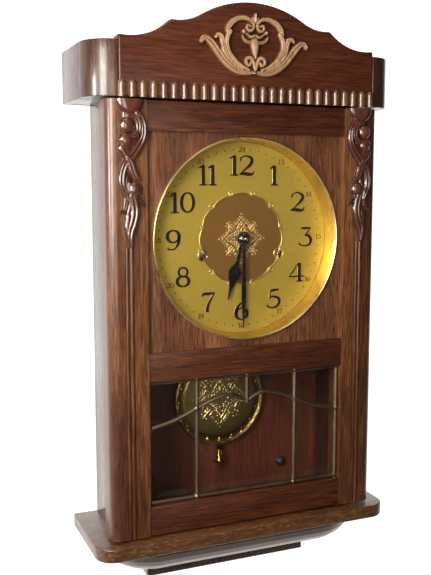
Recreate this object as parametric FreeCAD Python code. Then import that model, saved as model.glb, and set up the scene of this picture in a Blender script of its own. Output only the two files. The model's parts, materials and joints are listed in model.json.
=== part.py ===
import FreeCAD, Part
import math
import os

# Pendulum wall clock.  Millimetres.  +X right, +Y into the wall, +Z up.
# Origin: centre of the hanger hole, on the wall plane (Y = 0).

V = FreeCAD.Vector
os.makedirs("parts", exist_ok=True)

# ---- overall sizes -------------------------------------------------------
door_width = 310.4
door_lap = 10.2             # door past the side boards, each side
case_depth = 73.4           # wall to the front edge of the side boards
door_t = 26.0
door_gap = 1.6              # between the case's front edge and the door's back
hanger_up = 23.0            # hanger hole above the crown's underside
crown_over_bezel = 34.0     # underside of the crown above the bezel's top
base_under_bezel = 203.0    # top of the base board below the bezel's foot

# ---- boards --------------------------------------------------------------
side_t = 10.0
back_t = 7.0
floor_t = 8.0
roof_t = 6.0

# ---- crown ---------------------------------------------------------------
crown_lap = 19.4            # crown past the door, each side
crown_h = 54.0
crown_r = 31.0
crown_side_t = 10.0
crown_proud = 5.0           # pediment face in front of the door face
pediment_t = 18.0
pediment_rise = 45.3        # peak above the crown's corners
pediment_end = 5.3          # the board's ends above the corners
step_in = 54.1              # the shoulder meets the brow this far in from the corner
step_rise = 22.8
brow_in = 31.5              # the round brow starts this far in from the step
brow_drop = 16.0
reed_count = 27
reed_end = 28.125           # last reed in from the crown's side
reed_h = 16.7
reed_proud = 3.6
reed_gap = 0.3
reed_strip_t = 1.0          # thin strip the reeds are glued to
carving_w = 122.0
carving_h = 60.0
carving_lift = 11.0         # above the reeded moulding
carving_t = 7.0

# ---- base ----------------------------------------------------------------
base_lap = 16.8             # base past the door, each side
base_t = 14.3
base_proud = 12.0           # base front edge in front of the door face
base_r = 20.5
apron_set = 16.0            # apron in from the base, each side
apron_h = 38.0
apron_inset = 56.0          # how far the apron's rounded edge runs in
apron_corner_r = 60.0
strip_width = 197.0
strip_front = 60.0          # behind the door face
strip_h = 19.0

# ---- door ----------------------------------------------------------------
stile_w = 41.4
stile_round = 10.0
door_top_gap = 1.5
door_foot_gap = 2.5
rail_recess = 1.5
rail_t = 20.0
top_rail_h = 30.0
rail_gap = 6.0              # bezel to the middle rail
mid_rail_h = 30.5
foot_rail_h = 31.0
mask_recess = 6.0
mask_t = 6.0
bead_set = 14.7             # twin beads, from the stile's inner edge
bead_w = 9.5
bead_top = 5.0              # below the dial centre
bead_depth = 2.2
drop_w = 30.0
drop_l = 146.0
drop_t = 6.0

# ---- bezel, glass and dial -----------------------------------------------
bezel_gap = 5.8             # bezel to the stiles
bezel_slope = 5.4           # outer radius less the throat's
bezel_lip = 2.6
bezel_step = 2.0            # flange behind the lip, smaller by this
bezel_seat = 1.6
bezel_wall = 1.2
bezel_front = 4.0           # behind the door face
bezel_clear = 0.4
glass_t = 2.0
glass_seat = 3.0            # behind the bezel's lip
dial_margin = 1.0           # dial edge inside the bezel's edge
dial_t = 1.0
dial_depth = 24.0           # dial face behind the door face
dial_bezel_gap = 0.8
wind_hole_r = 4.6

# ---- leaded window -------------------------------------------------------
came_w = 4.4
came_t = 5.0
came_depth = 6.0            # behind the door face
pane_t = 3.0
came_post_in = 55.3         # the two long uprights, in from the stiles

# ---- hinges and catch ----------------------------------------------------
knuckle_r = 3.0
knuckle_h = 12.0
knuckle_gap = 0.2
knuckle_out = 1.0           # knuckle clear of the case side
leaf_t = 1.2
leaf_w = 24.0
pin_r = 1.2
pin_clear = 0.05
hinge_up = 95.0             # above the dial centre
hinge_down = 262.0          # below the dial centre
catch_drop = 60.0
ball_r = 2.6
ball_proud = 1.0
sleeve_r = 3.6
sleeve_l = 16.0

# ---- movement ------------------------------------------------------------
front_plate_d = 31.0        # behind the door face
plate_t = 2.5
pillar_l = 32.0
plate_half = 80.0
plate_up = 60.0
plate_down = 66.0
pillar_r = 4.0
wind_x = 45.0
wind_drop = 17.5
arbor_r = 2.5
pivot_r = 0.8
pivot_clear = 0.05
dial_foot_r = 2.0
barrel_r = 38.0
great_r = 42.9
wheel_t = 1.5
centre_arbor_r = 1.2
cannon_r = 2.2
pipe_wall = 0.95
mesh_gap = 0.15
hand_t = 0.8
hour_d = 19.2               # hour hand behind the door face
minute_d = 16.6
nut_front = 12.5
hub_r = 8.0
hub_t = 0.6
minute_short = 5.6          # minute hand's tip inside the bezel's throat
hour_short = 29.0           # hour hand shorter than the minute hand
third_r = 18.0              # pitch radii of the trains
third_pinion_r = 2.17
centre_wheel_r = 26.0
escape_r = 12.0
escape_root_r = 10.2
escape_pinion_r = 1.75
escape_teeth = 30
pin_wheel_r = 17.0
pin_circle_r = 14.0
lift_pins = 8
fly_pinion_r = 1.7
cannon_pinion_r = 4.8
hour_wheel_r = 15.36
minute_wheel_r = 14.4
minute_pinion_r = 3.84
staff_r = 1.2
stud_r = 1.0
square_half = 1.7
ratchet_r = 9.0
drum_t = 1.2

# ---- pendulum ------------------------------------------------------------
pendulum_d = 85.0           # behind the door face
pivot_up = 52.7             # above the dial centre
bob_drop = 191.0            # bob centre below the dial centre
bob_r = 56.0
bob_t = 9.0
rod_r = 1.5
rod_clear = 0.08
cock_half = 6.0
cock_slot = 1.2
spring_l = 12.0
chop_h = 6.0

# ---- hanger, screws, gong ------------------------------------------------
hanger_hole_r = 4.0
hanger_w = 40.0
hanger_h = 26.0
hanger_t = 2.0
hanger_screw_x = 15.0
hanger_pocket_r = 9.0
steady_x = 85.5
steady_drop = 281.0
steady_head_r = 6.6
screw_r = 2.2
gong_x = 92.0
gong_rod_r = 1.5
gong_rod_l = 190.0

# ---- derived places ------------------------------------------------------
face_y = -(case_depth + door_gap + door_t)
door_half = door_width / 2
case_half = door_half - door_lap
crown_half = door_half + crown_lap
base_half = door_half + base_lap
apron_half = base_half - apron_set
stile_inner = door_half - stile_w
bead_in = stile_inner + bead_set
bead_out = bead_in + bead_w
bezel_r = stile_inner - bezel_gap
bezel_throat_r = bezel_r - bezel_slope
dial_r = bezel_r - dial_margin
minute_l = bezel_throat_r - minute_short
hour_l = minute_l - hour_short
crown_over_dial = bezel_r + crown_over_bezel
base_under_dial = bezel_r + base_under_bezel
mid_rail_top = bezel_r + rail_gap
came_post = stile_inner - came_post_in
dial_z = -(crown_over_dial + hanger_up)
crown_z = dial_z + crown_over_dial
crown_top = crown_z + crown_h
base_z = dial_z - base_under_dial
base_foot = base_z - base_t
door_z0 = base_z + door_foot_gap
door_z1 = crown_z - door_top_gap
door_back = face_y + door_t
crown_face = face_y - crown_proud
corner_x = crown_half - crown_r
step_x = corner_x - step_in
brow_half = step_x - brow_in
reed_pitch = 2 * (crown_half - reed_end) / reed_count


def behind(depth):
    """Y of a plane that lies this far behind the door's face."""
    return face_y + depth


def box(x0, x1, y0, y1, z0, z1):
    return Part.makeBox(x1 - x0, y1 - y0, z1 - z0, V(x0, y0, z0))


def rod(r, length, start, axis):
    return Part.makeCylinder(r, length, V(*start), V(*axis))


def post(r, x, z, y0, y1):
    """Round bar along Y."""
    return rod(r, y1 - y0, (x, y0, z), (0, 1, 0))


def ring(r_out, r_in, x, z, y0, y1):
    return post(r_out, x, z, y0, y1).cut(post(r_in, x, z, y0 - 1, y1 + 1))


def fuse(shapes):
    body = shapes[0]
    for other in shapes[1:]:
        body = body.fuse(other)
    return body.removeSplitter()


def plate(points, y0, y1):
    """Flat piece from an outline of (x, z) points, between two Y planes."""
    wire = Part.makePolygon([V(x, y0, z) for x, z in points + points[:1]])
    return Part.Face(wire).extrude(V(0, y1 - y0, 0))


def turned(profile, x, z):
    """Solid turned about a Y axis at (x, z) from (radius, y) points."""
    wire = Part.makePolygon([V(x + r, y, z) for r, y in profile + profile[:1]])
    return Part.Face(wire).revolve(V(x, 0, z), V(0, 1, 0), 360)


def turned_z(profile, x, y):
    """Solid turned about a Z axis at (x, y) from (radius, z) points."""
    wire = Part.makePolygon([V(x + r, y, z) for r, z in profile + profile[:1]])
    return Part.Face(wire).revolve(V(x, y, 0), V(0, 0, 1), 360)


def mirrored(shape):
    return shape.mirror(V(0, 0, 0), V(1, 0, 0))


def save(name, *solids):
    shape = solids[0] if len(solids) == 1 else Part.makeCompound(list(solids))
    shape.exportStep("parts/" + name + ".step")


def round_front(half, y_front, y_back, r, z0, z1):
    """Board with its two front corners rounded in plan."""
    k = r * (1 - math.sqrt(0.5))
    left = Part.Arc(V(-half, y_front + r, z0), V(-half + k, y_front + k, z0),
                    V(-half + r, y_front, z0)).toShape()
    right = Part.Arc(V(half - r, y_front, z0), V(half - k, y_front + k, z0),
                     V(half, y_front + r, z0)).toShape()
    edges = [
        Part.makeLine(V(-half, y_back, z0), V(-half, y_front + r, z0)),
        left,
        Part.makeLine(V(-half + r, y_front, z0), V(half - r, y_front, z0)),
        right,
        Part.makeLine(V(half, y_front + r, z0), V(half, y_back, z0)),
        Part.makeLine(V(half, y_back, z0), V(-half, y_back, z0)),
    ]
    return Part.Wire(edges)


def hanger_blank():
    return box(-hanger_w / 2, hanger_w / 2, -hanger_t, 0, -hanger_h / 2, hanger_h / 2)


def sunk_screw(x):
    """Countersunk wood screw, its head just below the plate's rear face."""
    return turned([(0, -0.1), (3.2, -0.1), (1.75, -hanger_t + 0.3), (1.75, -8), (0, -8)], x, 0)


# ---- case ----------------------------------------------------------------
def make_case():
    inner = case_half - side_t
    backboard = box(-inner, inner, -back_t, 0, base_z, crown_z)
    for side in (-1, 1):
        hole = post(screw_r, side * steady_x, dial_z - steady_drop, -back_t - 1, 1)
        backboard = backboard.cut(hole)
    save("backboard", backboard)

    side = box(inner, case_half, -case_depth, 0, base_z, crown_z)
    sleeve_x = -case_half + side_t / 2
    sleeve_hole = post(sleeve_r, sleeve_x, dial_z - catch_drop, -case_depth, -case_depth + sleeve_l)
    save("case_sides", mirrored(side).cut(sleeve_hole), side)


def make_crown():
    pediment_back = crown_face + pediment_t
    block_back = crown_face + crown_r
    side_in = crown_half - crown_side_t
    quarter = Part.makeCylinder(crown_r, crown_h, V(corner_x, block_back, crown_z), V(0, 0, 1), 90)
    quarter.rotate(V(corner_x, block_back, 0), V(0, 0, 1), -90)
    save("crown_corners", mirrored(quarter), quarter)
    board = box(side_in, crown_half, block_back, 0, crown_z, crown_top)
    save("crown_sides", mirrored(board), board)

    def deck(z0, z1):
        rear = box(-side_in, side_in, block_back, -side_t, z0, z1)
        front = box(-corner_x, corner_x, pediment_back, block_back, z0, z1)
        return fuse([rear, front])

    roof_top = crown_top - roof_t
    save("crown_decks", deck(crown_z, crown_z + floor_t), deck(roof_top - roof_t, roof_top))
    back = box(-side_in, side_in, -side_t, 0, crown_z, roof_top)
    back = back.cut(hanger_blank()).cut(post(hanger_pocket_r, 0, 0, -side_t - 1, 1))
    for x in (-hanger_screw_x, hanger_screw_x):
        back = back.cut(sunk_screw(x))
    save("crown_back", back)

    peak = crown_top + pediment_rise
    end = V(corner_x, crown_face, crown_top + pediment_end)
    step = V(step_x, crown_face, crown_top + step_rise)
    hollow = V(end.x - 0.55 * (end.x - step.x), crown_face, end.z + 0.14 * (step.z - end.z))
    brow = V(brow_half, crown_face, peak - brow_drop)
    dip = V((step.x + brow.x) / 2, crown_face, step.z + 0.08 * (brow.z - step.z))
    right = [
        Part.makeLine(V(corner_x, crown_face, crown_z), end),
        Part.Arc(end, hollow, step).toShape(),
        Part.Arc(step, dip, brow).toShape(),
    ]
    left = [edge.mirror(V(0, 0, 0), V(1, 0, 0)) for edge in right]
    crest = Part.Arc(brow, V(0, crown_face, peak), V(-brow_half, crown_face, brow.z)).toShape()
    foot = Part.makeLine(V(-corner_x, crown_face, crown_z), V(corner_x, crown_face, crown_z))
    wire = Part.Wire(Part.__sortEdges__(right + left + [crest, foot]))
    pediment = Part.Face(wire).extrude(V(0, pediment_t, 0))
    save("pediment", pediment)

    strip = box(-corner_x, corner_x, crown_face - reed_strip_t, crown_face, crown_z, crown_z + reed_h - 3)
    reeds = [strip]
    reed_r = (reed_pitch - reed_gap) / 2
    bury = reed_r - reed_proud
    for i in range(reed_count):
        x = (i - (reed_count - 1) / 2) * reed_pitch
        bead = rod(reed_r, reed_h, (x, crown_face + bury, crown_z), (0, 0, 1))
        reeds.append(bead.common(box(x - reed_r, x + reed_r, crown_face - reed_r, crown_face,
                                     crown_z, crown_top)))
    save("reeded_moulding", fuse(reeds))

    mid = crown_z + reed_h + carving_lift + carving_h / 2
    low = mid - carving_h / 2
    top = mid + carving_h / 2
    outline = [
        (0, low), (0.24 * carving_w, low + 0.2 * carving_h), (0.34 * carving_w, mid),
        (0.5 * carving_w, mid + 0.18 * carving_h), (0.36 * carving_w, mid + 0.38 * carving_h),
        (0.18 * carving_w, mid + 0.4 * carving_h), (0, top),
    ]
    outline += [(-x, z) for x, z in reversed(outline[1:-1])]
    save("crown_carving", plate(outline, crown_face - carving_t, crown_face))


def make_base():
    front = face_y - base_proud
    wire = round_front(base_half, front, 0, base_r, base_foot, 0)
    board = Part.Face(wire).extrude(V(0, 0, base_t))
    save("base_board", board)

    steps = 8
    wires = []
    for i in range(steps + 1):
        turn = math.pi / 2 * i / steps
        inset = apron_inset * (1 - math.cos(turn))
        z = base_foot - apron_h * math.sin(turn)
        wires.append(round_front(apron_half - inset, face_y + inset, 0,
                                 apron_corner_r - inset, z, 0))
    save("apron", Part.makeLoft(wires, True, True))

    half = strip_width / 2
    top = base_foot - apron_h
    save("bottom_strip", box(-half, half, behind(strip_front), 0, top - strip_h, top))


# ---- door ----------------------------------------------------------------
def make_door():
    stile = box(stile_inner, door_half, face_y, door_back, door_z0, door_z1)
    outer = [e for e in stile.Edges
             if abs(e.CenterOfMass.x - door_half) < 0.01 and abs(e.CenterOfMass.y - face_y) < 0.01]
    stile = stile.makeFillet(stile_round, outer)
    bead_z1 = dial_z - bead_top
    stile = stile.cut(box(bead_in, bead_out, face_y - 1, face_y + bead_depth, door_z0 - 1, bead_z1))
    bead_r = (bead_out - bead_in) / 4
    for x in (bead_in + bead_r, bead_out - bead_r):
        start = (x, face_y + bead_depth, door_z0)
        stile = stile.fuse(rod(bead_r - 0.05, bead_z1 - door_z0, start, (0, 0, 1)))
    stile = stile.removeSplitter()
    save("door_stiles", mirrored(stile), stile)

    rail_y = behind(rail_recess)
    top_z = dial_z + crown_over_dial - door_top_gap - top_rail_h
    mid_z1 = dial_z - mid_rail_top
    mid_z0 = mid_z1 - mid_rail_h
    foot_z1 = door_z0 + foot_rail_h
    save("door_top_rail", box(-stile_inner, stile_inner, rail_y, rail_y + rail_t, top_z, door_z1))
    save("door_mid_rail", box(-stile_inner, stile_inner, rail_y, rail_y + rail_t, mid_z0, mid_z1))
    save("door_foot_rail", box(-stile_inner, stile_inner, rail_y, rail_y + rail_t, door_z0, foot_z1))

    mask_y = behind(mask_recess)
    mask = box(-stile_inner, stile_inner, mask_y, mask_y + mask_t, mid_z1, top_z)
    flange_r = bezel_r - bezel_step
    mask = mask.cut(post(flange_r + bezel_clear, 0, dial_z, mask_y - 1, mask_y + mask_t + 1))
    save("dial_mask_panel", mask)

    lip_y = behind(bezel_front)
    flange_back = behind(dial_depth - dial_bezel_gap)
    seat_y = lip_y + glass_seat
    bezel = turned([
        (bezel_r, lip_y), (bezel_r, mask_y), (flange_r, mask_y),
        (bezel_throat_r + bezel_wall, flange_back), (bezel_throat_r, flange_back),
        (flange_r - bezel_wall - bezel_seat, seat_y + glass_t), (flange_r - bezel_wall, seat_y + glass_t),
        (flange_r - bezel_wall, seat_y), (bezel_r - bezel_lip, lip_y),
    ], 0, dial_z)
    save("bezel", bezel)
    save("bezel_glass", post(flange_r - bezel_wall, 0, dial_z, seat_y, seat_y + glass_t))

    drop = [
        (0.5, 1), (-0.45, 1), (-0.5, 0.78), (-0.1, 0.6), (-0.5, 0.5), (-0.2, 0.36),
        (0.1, 0.2), (0.05, 0), (0.3, 0.12), (0.42, 0.34), (0.5, 0.56), (0.2, 0.66), (0.5, 0.82),
    ]
    mid_x = (stile_inner + door_half - stile_round) / 2
    right = plate([(mid_x - drop_w * u, door_z1 - drop_l * (1 - v)) for u, v in drop],
                  face_y - drop_t, face_y)
    save("carved_drops", mirrored(right), right)
    make_window(mid_z0, foot_z1)


def came_strip(points, y0, y1):
    """Lead came of even width along a smooth line through (x, z) points."""
    curve = Part.BSplineCurve()
    curve.interpolate([V(x, 0, z) for x, z in points])
    steps = 12 * (len(points) - 1)
    one = []
    other = []
    for i in range(steps + 1):
        u = curve.FirstParameter + (curve.LastParameter - curve.FirstParameter) * i / steps
        p = curve.value(u)
        t = curve.tangent(u)[0]
        one.append((p.x - t.z * came_w / 2, p.z + t.x * came_w / 2))
        other.append((p.x + t.z * came_w / 2, p.z - t.x * came_w / 2))
    return plate(one + other[::-1], y0, y1)


def make_window(z_top, z_foot):
    y0 = behind(came_depth)
    y1 = y0 + came_t
    dips = [(0, 31.5), (0.211, 22.5), (0.518, 34), (0.747, 44.5), (1, 51.5)]
    wave = [(share * stile_inner, z_top - dip) for share, dip in dips]
    bars = [came_strip(wave, y0, y1)]
    bars.append(mirrored(bars[0]))
    half = came_w / 2
    bars.append(box(-half, half, y0, y1, wave[0][1], z_top))
    for x in (-came_post, came_post):
        bars.append(box(x - half, x + half, y0, y1, z_foot, z_top))
    frame = box(-stile_inner, stile_inner, y0, y1, z_foot, z_top)
    frame = frame.cut(box(-stile_inner + came_w, stile_inner - came_w, y0 - 1, y1 + 1,
                          z_foot + came_w, z_top - came_w))
    lead = fuse([frame] + bars)
    lead = lead.common(box(-stile_inner, stile_inner, y0, y1, z_foot, z_top))
    save("window_cames", lead)
    mid = (y0 + y1) / 2
    sheet = box(-stile_inner, stile_inner, mid - pane_t / 2, mid + pane_t / 2, z_foot, z_top)
    save("window_panes", *sheet.cut(lead).Solids)


def make_hinges():
    axis_x = case_half + knuckle_out + knuckle_r
    axis_y = door_back + knuckle_gap + knuckle_r
    bore = pin_r + pin_clear
    case_leaves = []
    door_leaves = []
    pins = []
    for z in (dial_z + hinge_up, dial_z - hinge_down):
        z0 = z - 1.5 * knuckle_h
        z1 = z + 1.5 * knuckle_h
        leaf = box(case_half, case_half + leaf_t, axis_y, axis_y + leaf_w, z0, z1)
        for low in (z0, z1 - knuckle_h):
            knuckle = rod(knuckle_r, knuckle_h, (axis_x, axis_y, low), (0, 0, 1))
            web = box(case_half, axis_x, axis_y + knuckle_r - leaf_t, axis_y + knuckle_r,
                      low, low + knuckle_h)
            leaf = leaf.fuse(knuckle).fuse(web)
        leaf = leaf.cut(rod(pin_r, z1 - z0 + 2, (axis_x, axis_y, z0 - 1), (0, 0, 1)))
        clear = rod(knuckle_r + 0.4, knuckle_h + 2 * knuckle_gap,
                    (axis_x, axis_y, z - knuckle_h / 2 - knuckle_gap), (0, 0, 1))
        case_leaves.append(leaf.cut(clear).removeSplitter())

        k0 = z - knuckle_h / 2 + knuckle_gap
        k1 = z + knuckle_h / 2 - knuckle_gap
        barrel = rod(knuckle_r, k1 - k0, (axis_x, axis_y, k0), (0, 0, 1))
        leaf = box(axis_x - leaf_w, axis_x, door_back, door_back + leaf_t, k0, k1)
        leaf = leaf.fuse(barrel)
        leaf = leaf.cut(rod(bore, knuckle_h + 2, (axis_x, axis_y, k0 - 1), (0, 0, 1)))
        door_leaves.append(leaf.removeSplitter())

        head = knuckle_r * 0.8
        pin = rod(pin_r, z1 - z0, (axis_x, axis_y, z0), (0, 0, 1))
        pin = pin.fuse(rod(head, 1.5, (axis_x, axis_y, z1), (0, 0, 1)))
        pins.append(pin)
    save("hinge_case_leaves", *case_leaves)
    save("hinge_door_leaves", *door_leaves)
    save("hinge_pins", *pins)


def make_catch():
    x = -case_half + side_t / 2
    z = dial_z - catch_drop
    y = -case_depth
    sleeve = post(sleeve_r, x, z, y, y + sleeve_l)
    ball_y = y - ball_proud + ball_r
    bore = ball_r + 0.1
    sleeve = sleeve.cut(post(bore, x, z, y - 1, y + sleeve_l - 2))
    save("catch_sleeve", sleeve)
    ball = Part.makeSphere(ball_r, V(x, ball_y, z)).fuse(post(1.2, x, z, ball_y, ball_y + 8))
    save("catch_ball", ball.removeSplitter())
    strike = box(x - 4, x + 4, door_back, door_back + 1.0, z - 11, z + 11)
    strike = strike.cut(post(ball_r, x, z, door_back - 1, door_back + 2))
    for dz in (-8, 8):
        strike = strike.cut(post(1.2, x, z + dz, door_back - 1, door_back + 2))
    save("strike_plate", strike)


# ---- movement ------------------------------------------------------------
front_y0 = behind(front_plate_d)
front_y1 = front_y0 + plate_t
rear_y0 = front_y1 + pillar_l
rear_y1 = rear_y0 + plate_t
dial_face = behind(dial_depth)
dial_back = dial_face + dial_t
pendulum_y = behind(pendulum_d)
pivot_z = dial_z + pivot_up
wind_z = dial_z - wind_drop

going_layer = front_y1 + 3.0
strike_layer = front_y1 + 6.0
escape_layer = front_y1 + 17.0
centre_layer = front_y1 + 22.5
third_layer = front_y1 + 25.5

third_at = (15.0, 23.9)
escape_at = (0.0, 36.7)
pin_wheel_at = (-30.0, 28.0)
fly_at = (-44.0, 40.4)
hammer_at = (-66.0, 33.0)
motion_at = (0.0, -19.2)
pillar_at = [(-74, -60), (74, -60), (-74, 54), (74, 54)]


def wheel(r, x, z, y0, hub_r, bore_r):
    """Crossed-out wheel: rim, hub and four arms."""
    y1 = y0 + wheel_t
    rim = ring(r, 0.84 * r, x, z, y0, y1)
    arm = 0.09 * r
    across = box(x - 0.9 * r, x + 0.9 * r, y0, y1, z - arm, z + arm)
    upright = box(x - arm, x + arm, y0, y1, z - 0.9 * r, z + 0.9 * r)
    body = fuse([rim, across, upright, post(hub_r, x, z, y0, y1)])
    if bore_r > 0:
        body = body.cut(post(bore_r, x, z, y0 - 1, y1 + 1))
    return body


def arbor(parts, r, x, z):
    """Arbor between the plates with a thin pivot in each plate."""
    shaft = post(r, x, z, front_y1 + 1, rear_y0 - 1)
    pivots = post(pivot_r, x, z, front_y0, rear_y1)
    return fuse([shaft, pivots] + parts)


def make_plates():
    small = [third_at, escape_at, pin_wheel_at, fly_at]

    def blank(y0, y1):
        body = box(-plate_half, plate_half, y0, y1, dial_z - plate_down, dial_z + plate_up)
        for x, dz in small:
            body = body.cut(post(pivot_r + pivot_clear, x, dial_z + dz, y0 - 1, y1 + 1))
        for side in (-1, 1):
            body = body.cut(post(arbor_r + pivot_clear, side * wind_x, wind_z, y0 - 1, y1 + 1))
        for dx, dz in (hammer_at, (0, pivot_up)):
            body = body.cut(post(staff_r + pivot_clear, dx, dial_z + dz, y0 - 1, y1 + 1))
        return body

    front = blank(front_y0, front_y1)
    front = front.cut(post(cannon_r + pivot_clear, 0, dial_z, front_y0 - 1, front_y1 + 1))
    front = front.cut(post(stud_r, motion_at[0], dial_z + motion_at[1], front_y0 - 1, front_y1 + 1))
    rear = blank(rear_y0, rear_y1)
    rear = rear.cut(post(centre_arbor_r + pivot_clear, 0, dial_z, rear_y0 - 1, rear_y1 + 1))
    for x, dz in pillar_at:
        rear = rear.fuse(post(pillar_r, x, dial_z + dz, front_y1, rear_y0))
    save("movement_front_plate", front)
    save("movement_rear_plate", rear.removeSplitter())

    dial = post(dial_r, 0, dial_z, dial_face, dial_back)
    dial = dial.cut(post(cannon_r + pipe_wall + 0.4, 0, dial_z, dial_face - 1, dial_back + 1))
    for side in (-1, 1):
        dial = dial.cut(post(wind_hole_r, side * wind_x, wind_z, dial_face - 1, dial_back + 1))
    for x, dz in pillar_at:
        dial = dial.fuse(post(dial_foot_r, 0.85 * x, dial_z + 0.85 * dz, dial_back, front_y0))
    save("dial_plate", dial.removeSplitter())

    brackets = []
    for side in (-1, 1):
        x0 = side * (plate_half - 10)
        low, high = min(x0, x0 + side * 10), max(x0, x0 + side * 10)
        arm = box(low, high, rear_y1, -back_t, dial_z - plate_down, dial_z - plate_down + 12)
        pad = box(low, high, -back_t - 3, -back_t, dial_z - plate_down - 18, dial_z - plate_down + 30)
        brackets.append(fuse([arm, pad]))
    save("movement_brackets", *brackets)


def make_trains():
    clicks = []
    for name, side, great_y in (("going", 1, going_layer), ("strike", -1, strike_layer)):
        x = side * wind_x
        drum_y0 = great_y + wheel_t
        drum_y1 = centre_layer - 1.5
        drum = ring(great_r, arbor_r + pivot_clear, x, wind_z, great_y, drum_y0)
        shell = ring(barrel_r, barrel_r - drum_t, x, wind_z, drum_y0, drum_y1)
        lid = ring(barrel_r, arbor_r + pivot_clear, x, wind_z, drum_y1 - drum_t, drum_y1)
        save(name + "_barrel", fuse([drum, shell, lid]))
        ratchet_y = front_y0 - 2.2
        shaft = post(arbor_r, x, wind_z, ratchet_y, rear_y1 + 2)
        square = box(x - square_half, x + square_half, dial_face - 2, ratchet_y,
                     wind_z - square_half, wind_z + square_half)
        ratchet = ring(ratchet_r, arbor_r, x, wind_z, ratchet_y, front_y0 - 0.4)
        save(name + "_winding_arbor", fuse([shaft, square]), ratchet)
        click = box(x - 2, x + 2, ratchet_y, front_y0 - 0.4, wind_z - 19, wind_z - 9.4)
        stud = post(2.0, x, wind_z - 16, front_y0 - 0.4, front_y0)
        clicks.append(fuse([click, stud]))
    save("winding_clicks", *clicks)

    centre_pinion_r = math.hypot(wind_x, wind_drop) - great_r - mesh_gap
    shaft = post(centre_arbor_r, 0, dial_z, behind(nut_front), rear_y1)
    arbor_bore = centre_arbor_r + pivot_clear
    cannon = ring(cannon_r, arbor_bore, 0, dial_z, behind(minute_d) + hand_t, front_y0 + 2)
    cannon_leaves = ring(cannon_pinion_r - mesh_gap, arbor_bore, 0, dial_z, behind(28.0), behind(30.2))
    save("cannon_pinion", fuse([cannon, cannon_leaves]))
    pinion = post(centre_pinion_r, 0, dial_z, going_layer - 0.5, going_layer + 2.5)
    centre_wheel = wheel(centre_wheel_r, 0, dial_z, centre_layer, 4, 0)
    save("centre_arbor", fuse([shaft, pinion, centre_wheel]))

    hour_pipe_r = cannon_r + pivot_clear
    pipe = ring(hour_pipe_r + pipe_wall, hour_pipe_r, 0, dial_z,
                behind(hour_d) + hand_t, behind(27.6))
    hour_wheel = ring(hour_wheel_r - mesh_gap, hour_pipe_r, 0, dial_z, behind(25.8), behind(27.3))
    save("hour_wheel", fuse([pipe, hour_wheel]))

    x, dz = motion_at
    motion = post(minute_wheel_r - mesh_gap, x, dial_z + dz, behind(28.4), behind(29.9))
    motion = motion.fuse(post(minute_pinion_r - mesh_gap, x, dial_z + dz, behind(25.6), behind(28.4)))
    motion = motion.fuse(post(stud_r - pivot_clear, x, dial_z + dz, behind(29.9), front_y1))
    save("minute_wheel", motion.removeSplitter())

    x, dz = third_at
    z = dial_z + dz
    pinion = post(third_pinion_r - mesh_gap, x, z, centre_layer - 0.6, third_layer)
    third = arbor([wheel(third_r - mesh_gap, x, z, third_layer, 2.5, 0), pinion], 1.4, x, z)
    save("third_wheel", third)

    x, dz = escape_at
    z = dial_z + dz
    points = []
    for i in range(escape_teeth):
        turn = 2 * math.pi * i / escape_teeth
        for lead, r in ((0, escape_root_r), (0.04, escape_r), (0.09, escape_root_r)):
            points.append((x + r * math.cos(turn + lead), z + r * math.sin(turn + lead)))
    wheel_y = escape_layer
    toothed = plate(points, wheel_y, wheel_y + 1.2)
    pinion = post(escape_pinion_r - mesh_gap, x, z, third_layer - 1, third_layer + 2.5)
    escape = arbor([toothed, pinion], 1.2, x, z)
    save("escape_wheel", escape)

    pallet_y = (wheel_y, wheel_y + 1.2)
    arch = [(-13, -9), (-10.6, -8.2), (-5, 1), (5, 1), (10.6, -8.2), (13, -9), (8, 5), (-8, 5)]
    pallets = plate([(a, pivot_z + b) for a, b in arch], *pallet_y)
    staff = post(staff_r, 0, pivot_z, front_y0, rear_y1 + 6)
    crutch_y = rear_y1 + 4
    arm = box(-1.5, 1.5, crutch_y, crutch_y + 1.5, dial_z + 4, pivot_z - 1)
    hub = post(3.5, 0, pivot_z, crutch_y - 0.5, crutch_y + 2)
    bridge = box(-4, 4, crutch_y, crutch_y + 1.5, dial_z + 2, dial_z + 5)
    prongs = []
    for side in (-1, 1):
        x0 = side * (rod_r + 0.4)
        prongs.append(box(min(x0, x0 + side * 1.5), max(x0, x0 + side * 1.5), crutch_y,
                          pendulum_y + 4, dial_z + 2, dial_z + 5))
    save("anchor_and_crutch", fuse([pallets, staff, hub, arm, bridge] + prongs))


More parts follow.
